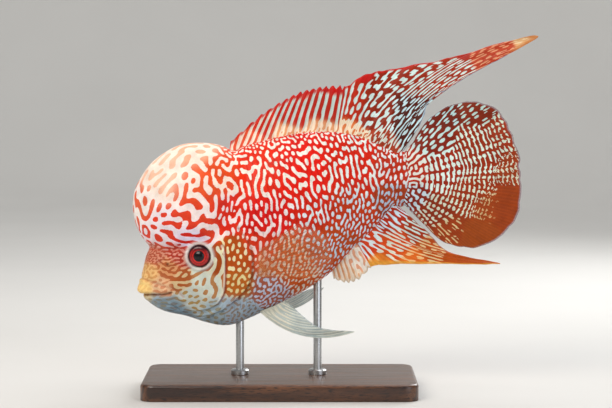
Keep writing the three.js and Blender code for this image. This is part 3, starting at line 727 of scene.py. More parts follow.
# Fins. What each one's values say:
# root, edge: points from front to back, as (x, z) or (x, y, z)
# arch: how far the first, middle and last ray bow, as a share of their length
# sway: how far the edge swings to one side and back
# rays, branch: how many rays there are, and how often each forks
# cells: squares from front to back, and from root to edge
# spike, fray: how far a ray's tip stands out, and how ragged the edge is in its front and rear half
# thick, ray_thick: thickness at the root and of the web, how far out the root's reaches, and what a ray adds
# ray_lean: draws the dark onto the rays, or off them where it is below 0
# dash: pitch and strength of dashes along the webs
# rims: tinted stretches of the edge: from, to, width, colour, and how far they thin to clear
# clear, ray_film: how much a web and a ray cover, where that isn't fully
# zones: as on the body, with the lie of the marks counted from the ray's own direction
FINS = {
    "dorsal_fin_spiny": {
        "root": [(-36.5, 172), (-24.5, 174.5), (-8.5, 178.5), (8, 181.5), (24.5, 184), (40.9, 184)],
        "edge": [(-35.5, 180), (-14, 198.4), (4, 210), (19, 216.4), (33, 218.8), (46.4, 219.2)],
        "arch": (0, 0.03, 0), "sway": 0, "rays": 15, "spike": 2.6, "cells": (240, 64), "branch": 0,
        "thick": (4.2, 0.55, 0.14), "ray_thick": 0.9, "fray": (0.5, 0.5), "seed": 21, "ray_lean": 0.3,
        "dash": (9, 0.0), "rims": [(-0.1, 1.1, 4.2, "#C2140F", 0.0)],
        "zones": [
            (-20, 180, 6, "#F3E0CE", "#E2502C", 4.2, 0.0, 0, 2.0),
            (5, 186, 6, "#F4DEC4", "#E39A68", 3.2, -0.03, 0, 1.2),
            (30, 189, 6, "#F2DAC0", "#DF9C6C", 3.2, -0.03, 0, 1.2),
            (-12, 193, 6, "#D8D4C8", "#C8200A", 5.0, 0.10, 0, 3.0),
            (8, 200, 7, "#C4D2CC", "#BE1C0A", 5.0, 0.10, 0, 3.0),
            (32, 203, 7, "#C0D2CC", "#AE200E", 5.0, 0.12, 0, 3.0),
            (-18, 198, 3, "#DE8C78", "#C41A16", 4.4, 0.2, 0, 3.0),
            (14, 218, 4, "#D4685A", "#BE1A16", 4.4, 0.22, 0, 3.0),
            (38, 221, 4, "#CE5A4C", "#B81816", 4.4, 0.28, 0, 3.0),
        ],
    },
    "dorsal_fin_soft": {
        "root": [(40.6, 184), (52, 182.5), (63.5, 178.5), (73.5, 174.5), (80.5, 171), (85.5, 168.6)],
        "edge": [
            (46.1, 219.2), (62, 228), (86.5, 233.5), (122.5, 240.5), (162, 252), (183.5, 255.5),
            (162, 242.5), (127, 223), (107, 210), (100, 192), (88.5, 174.5),
        ],
        "arch": (0, 0.1, 0), "sway": 3, "rays": 13, "spike": 1.2, "cells": (286, 110), "branch": 1,
        "thick": (4.4, 0.5, 0.1), "ray_thick": 0.6, "fray": (0.8, 2.2), "seed": 22, "ray_lean": 0.22,
        "dash": (8.2, 0.05),
        "rims": [
            (-0.1, 0.40, 2.8, "#C4160E", 0.0), (0.42, 0.58, 9, "#C8793C", 0.1),
            (0.6, 1.1, 2.6, "#A9C0D6", 0.45),
        ],
        "zones": [
            (46, 188, 6, "#EED9BC", "#D9783C", 3.8, -0.12, 0, 1.0),
            (59, 182, 4, "#E9D8BC", "#C8602C", 3.8, -0.10, 60, 1.0),
            (50, 208, 8, "#CBDCD8", "#B4260C", 4.0, 0.07, 0, 3.6),
            (72, 205, 9, "#CFE4E2", "#8E2408", 3.9, 0.07, 0, 3.0),
            (92, 203, 9, "#C4E0E8", "#4C1404", 3.7, 0.10, 0, 1.8),
            (96, 222, 8, "#CCE4E0", "#96260A", 3.7, 0.07, 0, 4.0),
            (122, 228, 8, "#CFE0DA", "#A02C0E", 3.3, 0.08, 0, 4.0),
            (60, 229, 3, "#CE4A3A", "#BC1814", 4.0, 0.4, 0, 2.0),
            (90, 236, 3, "#CE4A3A", "#B81C14", 4.0, 0.4, 0, 2.0),
            (130, 244, 3, "#C8583C", "#A82416", 3.6, 0.4, 0, 2.0),
            (152, 245, 8, "#D8906A", "#B43A1C", 3.2, 0.14, 0, 4.0),
            (182, 255, 8, "#EBD0A4", "#DCAA74", 3.4, 0.1, 0, 3.0),
            (72, 181, 5, "#D4DED4", "#A23410", 3.8, 0.06, 0, 2.0),
            (104, 200, 4, "#B9CED8", "#5E342E", 3.4, -0.1, 0, 1.0),
        ],
    },
    "tail_fin": {
        "root": [(89, 171.5), (91, 163.5), (91.8, 154), (90.6, 144.5), (88.6, 136)],
        "edge": [
            (94.5, 176.5), (104.5, 194), (119, 205), (137, 209.5), (153.5, 204.5), (164, 190),
            (170.5, 168.5), (171.8, 148.5), (168.6, 128), (157.5, 112.8), (138, 105), (117.5, 109),
            (103.5, 121), (92.8, 132),
        ],
        "arch": (0, 0, 0), "sway": 3.5, "rays": 13, "spike": 0.8, "cells": (312, 116), "branch": 2,
        "thick": (7.0, 0.5, 0.13), "ray_thick": 0.5, "fray": (0.9, 0.9), "seed": 23, "ray_lean": 0.26,
        "dash": (7.4, 0.06), "rims": [(-0.1, 0.75, 1.6, "#A48E96", 0.5), (0.75, 1.1, 1.2, "#9C6A5A", 0.4)],
        "zones": [
            (97, 160, 8, "#E6E4DA", "#B42A10", 4.0, 0.02, 50, 1.2),
            (96, 142, 7, "#C0D4DE", "#801E0C", 3.8, 0.08, 60, 1.2),
            (112, 180, 9, "#C2E0DE", "#7E1E08", 3.8, 0.10, 0, 2.4),
            (118, 200, 7, "#B4D6D8", "#6E1C08", 3.8, 0.14, 0, 3.0),
            (140, 203, 7, "#B6D4CC", "#7E260C", 3.6, 0.18, 0, 2.6),
            (118, 162, 12, "#DDEEE6", "#9A2408", 3.9, 0.03, 90, 1.6),
            (140, 175, 11, "#D8EADC", "#922A0A", 3.6, 0.12, 90, 1.2),
            (158, 185, 7, "#CCDCC8", "#963010", 3.5, 0.13, 90, 0.6),
            (165, 161, 6, "#D2D4BC", "#963610", 3.3, 0.15, 90, 0.3),
            (136, 144, 10, "#D4DEC8", "#96300C", 3.5, 0.15, 90, 0.4),
            (147, 135, 7, "#CDA873", "#9C4014", 3.0, 0.20, 90, 0.3),
            (112, 130, 8, "#C6CCB8", "#862A0C", 3.5, 0.14, 60, 0.5),
            (120, 117, 7, "#CDB683", "#96380F", 3.1, 0.20, 0, 0.5),
            (142, 112, 8, "#9E4C1C", "#944212", 3.6, 0.45, 0, 1.0),
            (163, 132, 8, "#A04A1C", "#943C12", 3.6, 0.45, 0, 1.0),
        ],
    },
    "anal_fin_spiny": {
        "root": [(37, 90.5), (45, 100.5), (54.1, 109.8)],
        "edge": [(38.6, 81.8), (47, 79.6), (55.5, 81.2), (65.3, 90.2)],
        "arch": (0, 0, 0), "sway": 0, "rays": 7, "spike": 2, "cells": (126, 50), "branch": 0,
        "thick": (4.4, 0.7, 0.25), "ray_thick": 1.0, "fray": (0.3, 0.3), "seed": 24, "ray_lean": -0.1,
        "dash": (7, 0.0), "rims": [(-0.1, 1.1, 2.0, "#E6CFB2", 0.2)],
        "zones": [
            (42, 90, 6, "#E8DACA", "#D6966A", 3.8, -0.10, 0, 2.4),
            (54, 98, 6, "#E8DED2", "#DDA080", 3.8, -0.12, 0, 2.4),
            (50, 82, 5, "#E9D6C0", "#D9A67C", 3.8, -0.14, 0, 2.4),
        ],
    },
    "anal_fin_soft": {
        "root": [(53.8, 109.7), (64.5, 118.5), (73.5, 127), (82.5, 136)],
        "edge": [
            (65, 90.2), (86.5, 92.6), (122.5, 93), (157, 93.5), (137, 97.4), (120, 102), (109, 112.5),
            (99.5, 121.5), (87.6, 132.2),
        ],
        "arch": (0, -0.075, 0), "sway": -3, "rays": 10, "spike": 1, "cells": (240, 90), "branch": 1,
        "thick": (4.4, 0.5, 0.14), "ray_thick": 0.6, "fray": (0.6, 1.8), "seed": 25, "ray_lean": 0.2,
        "dash": (8, 0.04), "rims": [(-0.1, 0.38, 6.5, "#E2A038", 0.1), (0.45, 1.1, 2.0, "#C48A78", 0.4)],
        "zones": [
            (63, 110, 8, "#D6E4EA", "#CC3A10", 3.8, 0.06, 0, 3.0),
            (78, 122, 7, "#CCE2EE", "#AE2808", 3.8, 0.06, 0, 2.6),
            (82, 108, 8, "#D6DCCC", "#D24A10", 3.6, 0.06, 0, 4.0),
            (98, 118, 6, "#C8DED8", "#A0300C", 3.6, 0.10, 40, 1.4),
            (72, 93, 5, "#EBB464", "#DC7C26", 3.8, 0.2, 0, 2.0),
            (95, 95, 6, "#EBBC7E", "#D8661C", 3.6, 0.10, 0, 4.0),
            (108, 104, 6, "#DCC08C", "#B84C0E", 3.4, 0.09, 0, 4.0),
            (135, 95, 9, "#CC8050", "#B04A0C", 3.6, 0.35, 0, 1.6),
        ],
    },
}
PECTORAL = {
    "root": [(-19.5, -22.4, 101), (-18.5, -22.8, 93), (-16.5, -21.6, 85)],
    "edge": [(13.5, -29, 124), (28, -32.5, 119), (37, -34, 107.5), (36.5, -33, 93.5), (24, -29, 84.5)],
    "arch": (0, 0.03, 0), "sway": 0, "rays": 8, "spike": 0.5, "cells": (192, 84), "branch": 1,
    "thick": (0.9, 0.3, 0.16), "ray_thick": 0.35, "fray": (0.6, 0.6), "seed": 26, "clear": 0.04,
    "ray_film": 0.22, "ray_lean": 0.2, "dash": (8, 0.0), "rims": [(-0.1, 1.1, 5.0, "#E9C6A8", 0.8)],
    "zones": [
        (-12, 92, 8, "#E6A468", "#C87C44", 4.0, 0.0, 0, 3.0),
        (10, 105, 12, "#E2A06A", "#C27640", 3.4, 0.0, 0, 4.0),
        (30, 108, 10, "#DCA884", "#C08660", 3.4, 0.0, 0, 4.0),
    ],
}
PELVIC = {
    "root": [(-14.8, -5.4, 58.2), (-6, -5.8, 61.5), (4, -5.6, 65.3)],
    "left_edge": [(53.5, -18, 45.5), (30, -15.5, 47.6), (17.5, -12, 55), (7, -8, 64)],
    "right_edge": [(32, 45, 70), (24, 36, 70.5), (16, 24, 69), (7, 10, 65)],
    "arch": (-0.155, -0.09, 0), "sway": 0, "rays": 6, "spike": 0.3, "cells": (144, 100), "branch": 1,
    "thick": (3.2, 0.45, 0.2), "ray_thick": 0.6, "fray": (0.8, 0.8), "seed": 27, "clear": 0.6,
    "ray_lean": -0.2, "dash": (8, 0.0), "rims": [(0.2, 1.1, 2.0, "#AFC0C4", 0.4)],
    "zones": [
        (-10, 56, 6, "#DCDCCB", "#C2C6B8", 4.0, 0.0, 0, 3.0),
        (0, 50, 7, "#E2E0CE", "#B9C6C2", 3.6, 0.0, 0, 3.0),
        (20, 50, 9, "#D2DAD2", "#ABBCBC", 3.6, 0.0, 0, 3.0),
        (45, 47, 9, "#CDD2C6", "#A9B6B0", 3.6, 0.0, 0, 3.0),
    ],
}


BAR_STRENGTH = 0.16
RUFFLE = 0.35  # how far the webs swing to either side between the rays
RAG_STEPS = 4  # ragged points of the edge for each ray


def deep(points):
    return [p if len(p) == 3 else (p[0], 0, p[1]) for p in points]


def fringe(spec, u):
    """How far each ray's tip stands out of the fin's edge."""
    rays = spec["rays"]
    steps = rays * RAG_STEPS
    ragged = np.random.default_rng(spec["seed"]).uniform(-1, 1, steps + 2)
    at = u * steps
    i = np.minimum(at.astype(int), steps)
    eased = smooth(0, 1, at - i)
    frayed = ragged[i] * (1 - eased) + ragged[i + 1] * eased
    fray = spec["fray"][0] + (spec["fray"][1] - spec["fray"][0]) * smooth(0.5, 0.62, u)
    return spec["spike"] * (np.abs(np.cos(rays * math.pi * u)) - 0.5) + fray * frayed


def fin_point(spec, u, v):
    """A point of the fin's middle sheet: u from the first ray to the last, v from the root to the edge."""
    start, end = along(deep(spec["root"]), u), along(deep(spec["edge"]), u)
    ray = end - start
    length = np.linalg.norm(ray, axis=-1)
    end = end + ray * (fringe(spec, u) * np.minimum(1, length / 20) / np.maximum(length, 1e-6))[..., None]
    across = np.stack([-(end - start)[..., 2], np.zeros_like(length), (end - start)[..., 0]], -1)
    bow = along([(bend,) for bend in spec["arch"]], u)[..., 0]
    at = start + (end - start) * v[..., None] + across * (bow * 4 * v * (1 - v))[..., None]
    at[..., 1] += spec["sway"] * v * v * np.sin(2 * math.pi * u) + swim_bend(at[..., 0])
    at[..., 1] += RUFFLE * np.sin(spec["rays"] * math.pi * u) * smooth(0.25, 1, v)
    return at


def ray_height(spec, u, v):
    """1 on a ray and 0 on the web between. Soft rays fork towards the edge."""
    rays = spec["rays"]
    ridge = np.abs(np.cos(rays * math.pi * u)) ** 5
    for fork in range(spec["branch"]):
        more = np.abs(np.cos(rays * 2 ** (fork + 1) * math.pi * u)) ** 5
        ridge = np.maximum(ridge, more * smooth(0.22 + 0.26 * fork, 0.4 + 0.26 * fork, v))
    return ridge


def flat_grid(name, cells):
    """A grid of squares, with each vertex's shares along and across it."""
    bm = bmesh.new()
    bmesh.ops.create_grid(bm, x_segments=cells[0], y_segments=cells[1], size=0.5)
    mesh = mesh_from(bm, name)
    flat = read(mesh) * MM + 0.5
    return mesh, flat[:, 0], flat[:, 1]


def fin_ways(spec, u, v):
    """The way out of the fin's face, and the way along its rays."""
    tiny = 1e-3
    du = fin_point(spec, np.minimum(u + tiny, 1), v) - fin_point(spec, np.maximum(u - tiny, 0), v)
    dv = fin_point(spec, u, np.minimum(v + tiny, 1)) - fin_point(spec, u, np.maximum(v - tiny, 0))
    return unit(np.cross(du, dv)), unit(dv)


def mark_rows(spec, u, reach, spacing, lie):
    """Draws the marks into bars where they lie across the rays, and elsewhere into dashes along the webs."""
    across = smooth(0.7, 1.4, lie)
    webs = np.floor(u * spec["rays"] * 2 ** min(spec["branch"], 1)).astype(int)
    phase = np.random.default_rng(spec["seed"]).uniform(0, 2 * math.pi, webs.max() + 1)[webs]
    pitch, strength = spec["dash"]
    bars = BAR_STRENGTH * np.cos(2 * math.pi * reach / spacing)
    dashes = strength * np.cos(2 * math.pi * reach / pitch + phase)
    return bars * across + dashes * (1 - across)


def paint_fin(spec, mesh, co, u, v, face, ray, ridge):
    """Grows the fin's marks, tints its rims, and says where it thins to clear."""
    pale, dark, spacing, lean, lie, draw = zoned(spec["zones"], co[:, 0], co[:, 2])
    grain = ray * np.cos(lie)[:, None] + np.cross(face, ray) * np.sin(lie)[:, None]
    length = np.linalg.norm(along(deep(spec["edge"]), u) - along(deep(spec["root"]), u), axis=1)
    reach = v * length
    rows = mark_rows(spec, u, reach, spacing, lie)
    lean = lean + (spec["ray_lean"] * (ridge - 0.35) + rows) * smooth(0.08, 0.2, v)
    marks = grow_marks(mesh, spacing, lean, grain, draw, spec["seed"], rounds=12)
    thin = np.zeros(len(u))
    for low, high, wide, colour, shed in spec["rims"]:
        share = smooth(wide, 0.35 * wide, length - reach) * smooth(low - 0.02, low + 0.02, u)
        share *= smooth(high + 0.02, high - 0.02, u)
        tint(pale, dark, colour, 0.85 * share)
        thin = np.maximum(thin, shed * share)
    clear = spec.get("clear", 1)
    film = clear + (1 - clear) * np.maximum(ridge * spec.get("ray_film", 0.6), 0.3 * bell(v - 0.1, 0.12))
    film *= 1 - thin
    strand = u * spec["rays"] * 2 ** (spec["branch"] + 1)
    paint(mesh, pale=pale, dark=dark, marks=marks, rays=ridge, film=np.clip(film, 0, 1), strand=strand)


def close_plate(mesh, co, face, thick):
    """Makes a sheet a closed plate: the copy that extrusion makes is its second face."""
    bm = bmesh.new()
    bm.from_mesh(mesh)
    order = bm.verts.layers.int.new("order")
    for i, vert in enumerate(bm.verts):
        vert[order] = i
    bmesh.ops.extrude_face_region(bm, geom=bm.faces[:], use_keep_orig=True)
    index = np.array([vert[order] for vert in bm.verts])
    second = np.arange(len(index)) >= len(co)
    both = co[index] + face[index] * (thick[index] * (second - 0.5))[:, None]
    for vert, place in zip(bm.verts, both * MM):
        vert.co = place
    bm.verts.layers.int.remove(order)
    bmesh.ops.recalc_face_normals(bm, faces=bm.faces[:])
    bm.to_mesh(mesh)
    bm.free()


def make_fin(name, spec, material, slot, *nodes):
    mesh, u, v = flat_grid(name, spec["cells"])
    co = fin_point(spec, u, v)
    face, ray = fin_ways(spec, u, v)
    ridge = ray_height(spec, u, v)
    write(mesh, co)
    paint_fin(spec, mesh, co, u, v, face, ray, ridge)
    root, web, root_reach = spec["thick"]
    thick = web + (root - web) * bell(v, root_reach * 1.6)
    thick += spec["ray_thick"] * ridge * (1 - 0.7 * v)
    thick *= (1 - 0.55 * smooth(0.96, 1, v)) * (1 - 0.5 * bell(np.minimum(u, 1 - u) * spec["rays"], 0.1))
    close_plate(mesh, co, face, thick)
    show(name, mesh, material, slot, *nodes)


def mirrored(points):
    return [(x, -y, z) for x, y, z in points]


def make_fins(resin):
    for name, spec in FINS.items():
        make_fin(name + "_skin", spec, resin, "fin", name)
    for word, turned in (("left", list), ("right", mirrored)):
        spec = {**PECTORAL, "root": turned(PECTORAL["root"]), "edge": turned(PECTORAL["edge"])}
        make_fin("pectoral_fin_" + word + "_skin", spec, resin, "fin", "pectoral_fin_" + word)
        spec = {**PELVIC, "root": turned(PELVIC["root"]), "edge": PELVIC[word + "_edge"]}
        make_fin("pelvic_fin_" + word + "_skin", spec, resin, "clear_fin", "pelvic_fin_" + word)


# Turned pieces: eyes, rods and collars.
def turned_mesh(name, profile, steps, matrix=None):
    """Spins a profile of (radius, height) about the upright axis."""
    bm = bmesh.new()
    verts = [bm.verts.new((r * MM, 0, h * MM)) for r, h in profile]
    edges = [bm.edges.new(pair) for pair in zip(verts, verts[1:])]
    bmesh.ops.spin(
        bm, geom=verts + edges, cent=(0, 0, 0), axis=(0, 0, 1), angle=2 * math.pi, steps=steps,
        use_merge=True, use_duplicate=False,
    )
    bmesh.ops.remove_doubles(bm, verts=bm.verts[:], dist=1e-7)
    bmesh.ops.recalc_face_normals(bm, faces=bm.faces[:])
    mesh = mesh_from(bm, name)
    local = read(mesh)
    if matrix is not None:
        mesh.transform(matrix)
    return mesh, local


def rounded(points, per_span=5):
    """A smooth profile through the given points."""
    return [tuple(p) for p in along(points, np.linspace(0, 1, (len(points) - 1) * per_span + 1))]


def make_eyes(iris):
    """A globe whose iris lies in a shallow dish round a domed pupil."""
    profile = rounded([(0, -6), (4.5, -5.2), (7.3, -2.8), (7.9, -0.4), (7.6, 0.75)])
    profile += rounded([(7.3, 1.15), (6.2, 1.75), (4.8, 2.0), (3.8, 2.05)])
    profile += rounded([(3.6, 2.1), (2.8, 2.6), (1.5, 2.95), (0, 3.05)])
    around = 96
    spokes = np.random.default_rng(31).uniform(0, 1, around + 1)
    for side, word in ((-1, "left"), (1, "right")):
        look = Vector((-EYE["turn_forward"], side, EYE["turn_up"])).normalized()
        middle = Vector((EYE["x"], side * EYE["half_head"] + swim_bend(EYE["x"]), EYE["z"]))
        across = Vector((0, 0, 1)).cross(look).normalized()
        turned = Matrix((across, look.cross(across), look)).transposed().to_4x4()
        matrix = Matrix.Translation(middle * MM) @ turned
        mesh, local = turned_mesh("eye_" + word + "_globe", profile, around, matrix)
        turn = np.arctan2(local[:, 1], local[:, 0]) / (2 * math.pi) % 1
        paint(
            mesh, ring=np.hypot(local[:, 0], local[:, 1]), rise=local[:, 1],
            fibre=np.interp(turn * around, np.arange(around + 1), spokes),
        )
        show(mesh.name, mesh, iris, "eye", "eye_" + word)


# The display stand.
BASE = {"length": 196, "depth": 104, "height": 12, "corner": 10, "roll": 2.4, "foot": 0.6}
ROD = {"radius": 3, "foot": 6, "ends": {"front": (-29, 65), "rear": (27, 95.5)}}
COLLAR = {"radius": 6.5, "bore": 3.05, "foot": 12.05, "top": 16, "chamfer": 1}


def make_base(wood):
    """A slab with rounded corners, a rolled upper edge and a small chamfer underneath."""
    bm = bmesh.new()
    bmesh.ops.create_cube(bm, size=1)
    bmesh.ops.scale(bm, vec=Vector([BASE[k] * MM for k in ("length", "depth", "height")]), verts=bm.verts[:])
    bmesh.ops.translate(bm, vec=(0, 0, BASE["height"] * MM / 2), verts=bm.verts[:])

    def roll(edges, offset, segments):
        bmesh.ops.bevel(
            bm, geom=edges, offset=offset * MM, offset_type="OFFSET", affect="EDGES", segments=segments,
            profile=0.5, material=-1,
        )

    roll([e for e in bm.edges if abs(e.verts[0].co.z - e.verts[1].co.z) > 1e-4], BASE["corner"], 10)
    top = BASE["height"] * MM - 1e-6
    roll([e for e in bm.edges if min(v.co.z for v in e.verts) > top], BASE["roll"], 5)
    roll([e for e in bm.edges if max(v.co.z for v in e.verts) < 1e-6], BASE["foot"], 2)
    show("stand_base_wood", mesh_from(bm, "stand_base_wood"), wood, "stained_wood", "stand_base", sharp=35)


def make_supports(steel):
    r, bore, foot, top, cut = (COLLAR[k] for k in ("radius", "bore", "foot", "top", "chamfer"))
    ring = [(bore, foot), (r - 0.3, foot), (r, foot + 0.3), (r, top - cut), (r - cut, top), (bore, top)]
    ring.append(ring[0])
    r, low = ROD["radius"], ROD["foot"]
    for word, (x, end) in ROD["ends"].items():
        stand_at = Matrix.Translation((x * MM, 0, 0))
        rod = [(0, low), (r, low), (r, end - 1), (r - 0.3, end - 0.3), (r - 1, end), (0, end)]
        mesh, _ = turned_mesh("stand_rod_" + word + "_steel", rod, 40, stand_at)
        show(mesh.name, mesh, steel, "brushed_steel", "stand_rod_" + word, sharp=35)
        mesh, _ = turned_mesh("stand_collar_" + word + "_steel", ring, 48, stand_at)
        show(mesh.name, mesh, steel, "brushed_steel", "stand_collar_" + word, sharp=35)


# Materials.
MIDDLE = {"From Min": 0.3, "From Max": 0.7}  # where most of a noise lies


def feed(tree, node, inputs):
    """Links or sets a node's inputs."""
    for name, value in inputs.items():
        if isinstance(value, bpy.types.NodeSocket):
            tree.links.new(value, node.inputs[name])
        else:
            node.inputs[name].default_value = value


def add(tree, kind, inputs, output=0, **settings):
    """Adds a node with its settings and inputs, and gives one of its outputs."""
    node = tree.nodes.new("ShaderNode" + kind)
    for name, value in settings.items():
        setattr(node, name, value)
    feed(tree, node, inputs)
    return node.outputs[output]


def tone(hex_colour):
    return (*linear(hex_colour), 1)


def new_material(name, build):
    """Makes a material whose build function gives the shader's inputs."""
    made = bpy.data.materials.new(name)
    made.use_nodes = True
    tree = made.node_tree
    where = add(tree, "TexCoord", {}, "Object")
    feed(tree, tree.nodes["Principled BSDF"], build(tree, where))
    return made


def per_mm(size):
    """A noise's scale for features of that size in millimetres."""
    return 1 / (size * MM)


def pigment(tree, where, crisp):
    """Pale and dark pigment by the grown marks, with a slightly ragged edge, cloudy tone and fine grain.
    Gives the share of dark and the colour."""
    ragged = add(tree, "TexNoise", {"Vector": where, "Scale": per_mm(0.9), "Detail": 3.0})
    shift = add(tree, "MapRange", {"Value": ragged, "To Min": -0.17, "To Max": 0.17})
    marks = add(tree, "Attribute", {}, "Fac", attribute_name="marks")
    edge = add(tree, "Math", {0: marks, 1: shift}, operation="ADD")
    span = {"Value": edge, "From Min": -crisp, "From Max": crisp}
    share = add(tree, "MapRange", span, interpolation_type="SMOOTHSTEP")
    pale = add(tree, "Attribute", {}, "Color", attribute_name="pale")
    dark = add(tree, "Attribute", {}, "Color", attribute_name="dark")
    plain = add(tree, "Mix", {0: share, 6: pale, 7: dark}, 2, data_type="RGBA")
    cloud = add(tree, "TexNoise", {"Vector": where, "Scale": per_mm(7), "Detail": 3.0})
    grain = add(tree, "TexNoise", {"Vector": where, "Scale": per_mm(0.35), "Detail": 2.0})
    cloud = add(tree, "MapRange", {"Value": cloud, **MIDDLE, "To Min": 0.86, "To Max": 1.1})
    grain = add(tree, "MapRange", {"Value": grain, **MIDDLE, "To Min": 0.9, "To Max": 1.08})
    both = add(tree, "Math", {0: cloud, 1: grain}, operation="MULTIPLY")
    clouded = add(tree, "Mix", {0: 1.0, 6: plain, 7: both}, 2, data_type="RGBA", blend_type="MULTIPLY")
    return share, clouded


def fish_skin(tree, where):
    """Painted fish skin under clear varnish. Pale pigment stands a hair's breadth proud, the surface is
    finely pebbled and moist looking, and light goes a little way in, so that edges glow."""
    share, colour = pigment(tree, where, 0.16)
    sunk = add(tree, "Math", {0: share, 1: -0.5}, operation="MULTIPLY")
    pebble = add(tree, "TexNoise", {"Vector": where, "Scale": per_mm(0.6), "Detail": 3.0})
    height = add(tree, "Math", {0: sunk, 1: pebble}, operation="ADD")
    wet = add(tree, "TexNoise", {"Vector": where, "Scale": per_mm(2.5), "Detail": 3.0})
    return {
        "Base Color": colour,
        "Normal": add(tree, "Bump", {"Strength": 0.45, "Distance": 0.12 * MM, "Height": height}),
        "Roughness": add(tree, "MapRange", {"Value": wet, **MIDDLE, "To Min": 0.34, "To Max": 0.48}),
        "Subsurface Weight": 0.06, "Subsurface Radius": (1.0, 0.45, 0.3), "Subsurface Scale": 1.2 * MM,
        "Coat Weight": 0.06, "Coat Roughness": 0.2, "Specular IOR Level": 0.16,
    }


def resin_fin(tree, where):
    """Cast and tinted resin web over raised rays. Fine strands run out with the rays, and the web thins to
    clear at its edge."""
    _, colour = pigment(tree, where, 0.2)
    strand = add(tree, "Attribute", {}, "Fac", attribute_name="strand")
    turn = add(tree, "Math", {0: strand, 1: 2 * math.pi}, operation="MULTIPLY")
    wave = add(tree, "Math", {0: turn}, operation="SINE")
    shade = add(tree, "MapRange", {"Value": wave, "From Min": -1.0, "To Min": 0.9, "To Max": 1.04})
    streaked = add(tree, "Mix", {0: 1.0, 6: colour, 7: shade}, 2, data_type="RGBA", blend_type="MULTIPLY")
    low = add(tree, "Math", {0: wave, 1: 0.4}, operation="MULTIPLY")
    pebble = add(tree, "TexNoise", {"Vector": where, "Scale": per_mm(0.5), "Detail": 3.0})
    height = add(tree, "Math", {0: low, 1: pebble}, operation="ADD")
    rays = add(tree, "Attribute", {}, "Fac", attribute_name="rays")
    return {
        "Base Color": streaked,
        "Normal": add(tree, "Bump", {"Strength": 0.5, "Distance": 0.15 * MM, "Height": height}),
        "Roughness": add(tree, "MapRange", {"Value": rays, "To Min": 0.32, "To Max": 0.45}),
        "Alpha": add(tree, "Attribute", {}, "Fac", attribute_name="film"),
        "Coat Weight": 0.06, "Coat Roughness": 0.18, "Specular IOR Level": 0.16,
    }


def glass_eye(tree, where):
    """Glass eye, painted behind: black pupil, and a red iris with fine spokes that darkens at its rim, with
    painted shade over its top, under a gloss."""
    ring = add(tree, "Attribute", {}, "Fac", attribute_name="ring")
    spread = add(tree, "MapRange", {"Value": ring, "From Max": 8.0})
    banded = add(tree, "ValToRGB", {"Fac": spread})
    bar = banded.node.color_ramp
    stops = [
        (0.0, "#03050A"), (0.47, "#04060E"), (0.51, "#B8201A"), (0.57, "#C8241C"), (0.66, "#7E1418"),
        (0.75, "#B4201A"), (0.85, "#8A1418"), (0.93, "#4A0E14"), (0.98, "#1C080C"),
    ]
    for at, colour in stops[1:-1]:
        bar.elements.new(at).color = tone(colour)
    bar.elements[0].color = tone(stops[0][1])
    bar.elements[-1].position = stops[-1][0]
    bar.elements[-1].color = tone(stops[-1][1])
    fibre = add(tree, "Attribute", {}, "Fac", attribute_name="fibre")
    spoke = add(tree, "MapRange", {"Value": fibre, "To Min": 0.72, "To Max": 1.15})
    spoked = add(tree, "Mix", {0: 1.0, 6: banded, 7: spoke}, 2, data_type="RGBA", blend_type="MULTIPLY")
    # Painted shade: the top of the iris is darkened towards near black, as if shaded from above.
    rise = add(tree, "Attribute", {}, "Fac", attribute_name="rise")
    span = {"Value": rise, "From Min": 2.0, "From Max": 6.0, "To Max": 0.85}
    shadow = add(tree, "MapRange", span, interpolation_type="SMOOTHSTEP")
    cast = add(tree, "TexNoise", {"Vector": where, "Scale": per_mm(0.4), "Detail": 2.0})
    return {
        "Base Color": add(tree, "Mix", {0: shadow, 6: spoked, 7: tone("#120A16")}, 2, data_type="RGBA"),
        "Normal": add(tree, "Bump", {"Strength": 0.1, "Distance": 0.05 * MM, "Height": cast}),
        "Roughness": 0.3, "Coat Weight": 0.5, "Coat Roughness": 0.04, "Specular IOR Level": 0.15,
    }


def walnut(tree, where):
    """Walnut, sawn along the grain, stained and satin lacquered: long dark streaks and short pores."""
    drawn = add(tree, "Mapping", {"Vector": where, "Scale": (0.09, 1.0, 0.7)})
    streak = add(tree, "TexNoise", {"Vector": drawn, "Scale": per_mm(5), "Detail": 5.0})
    bands = 0.1 * math.pi * per_mm(5.236)  # a wave's bands lie 0.1 pi apart at scale 1
    curls = {"Vector": drawn, "Scale": bands, "Distortion": 9.0, "Detail": 3.0, "Detail Scale": 1.5}
    figure = add(tree, "TexWave", curls, "Fac", wave_type="BANDS", bands_direction="Y")
    share = add(tree, "Mix", {0: 0.3, 2: streak, 3: figure}, 0)
    stained = add(tree, "ValToRGB", {"Fac": share})
    low, high = stained.node.color_ramp.elements
    low.position, low.color = 0.3, tone("#2C1810")
    high.position, high.color = 0.72, tone("#6E4428")
    fine = add(tree, "TexNoise", {"Vector": drawn, "Scale": per_mm(0.5), "Detail": 2.0})
    pores = add(tree, "MapRange", {"Value": fine, "From Min": 0.36, "From Max": 0.46})
    return {
        "Base Color": add(tree, "Mix", {0: pores, 6: tone("#1C0F0A"), 7: stained}, 2, data_type="RGBA"),
        "Normal": add(tree, "Bump", {"Strength": 0.35, "Distance": 0.08 * MM, "Height": pores}),
        "Roughness": add(tree, "MapRange", {"Value": streak, **MIDDLE, "To Min": 0.3, "To Max": 0.42}),
        "Coat Weight": 0.35, "Coat Roughness": 0.2,
    }


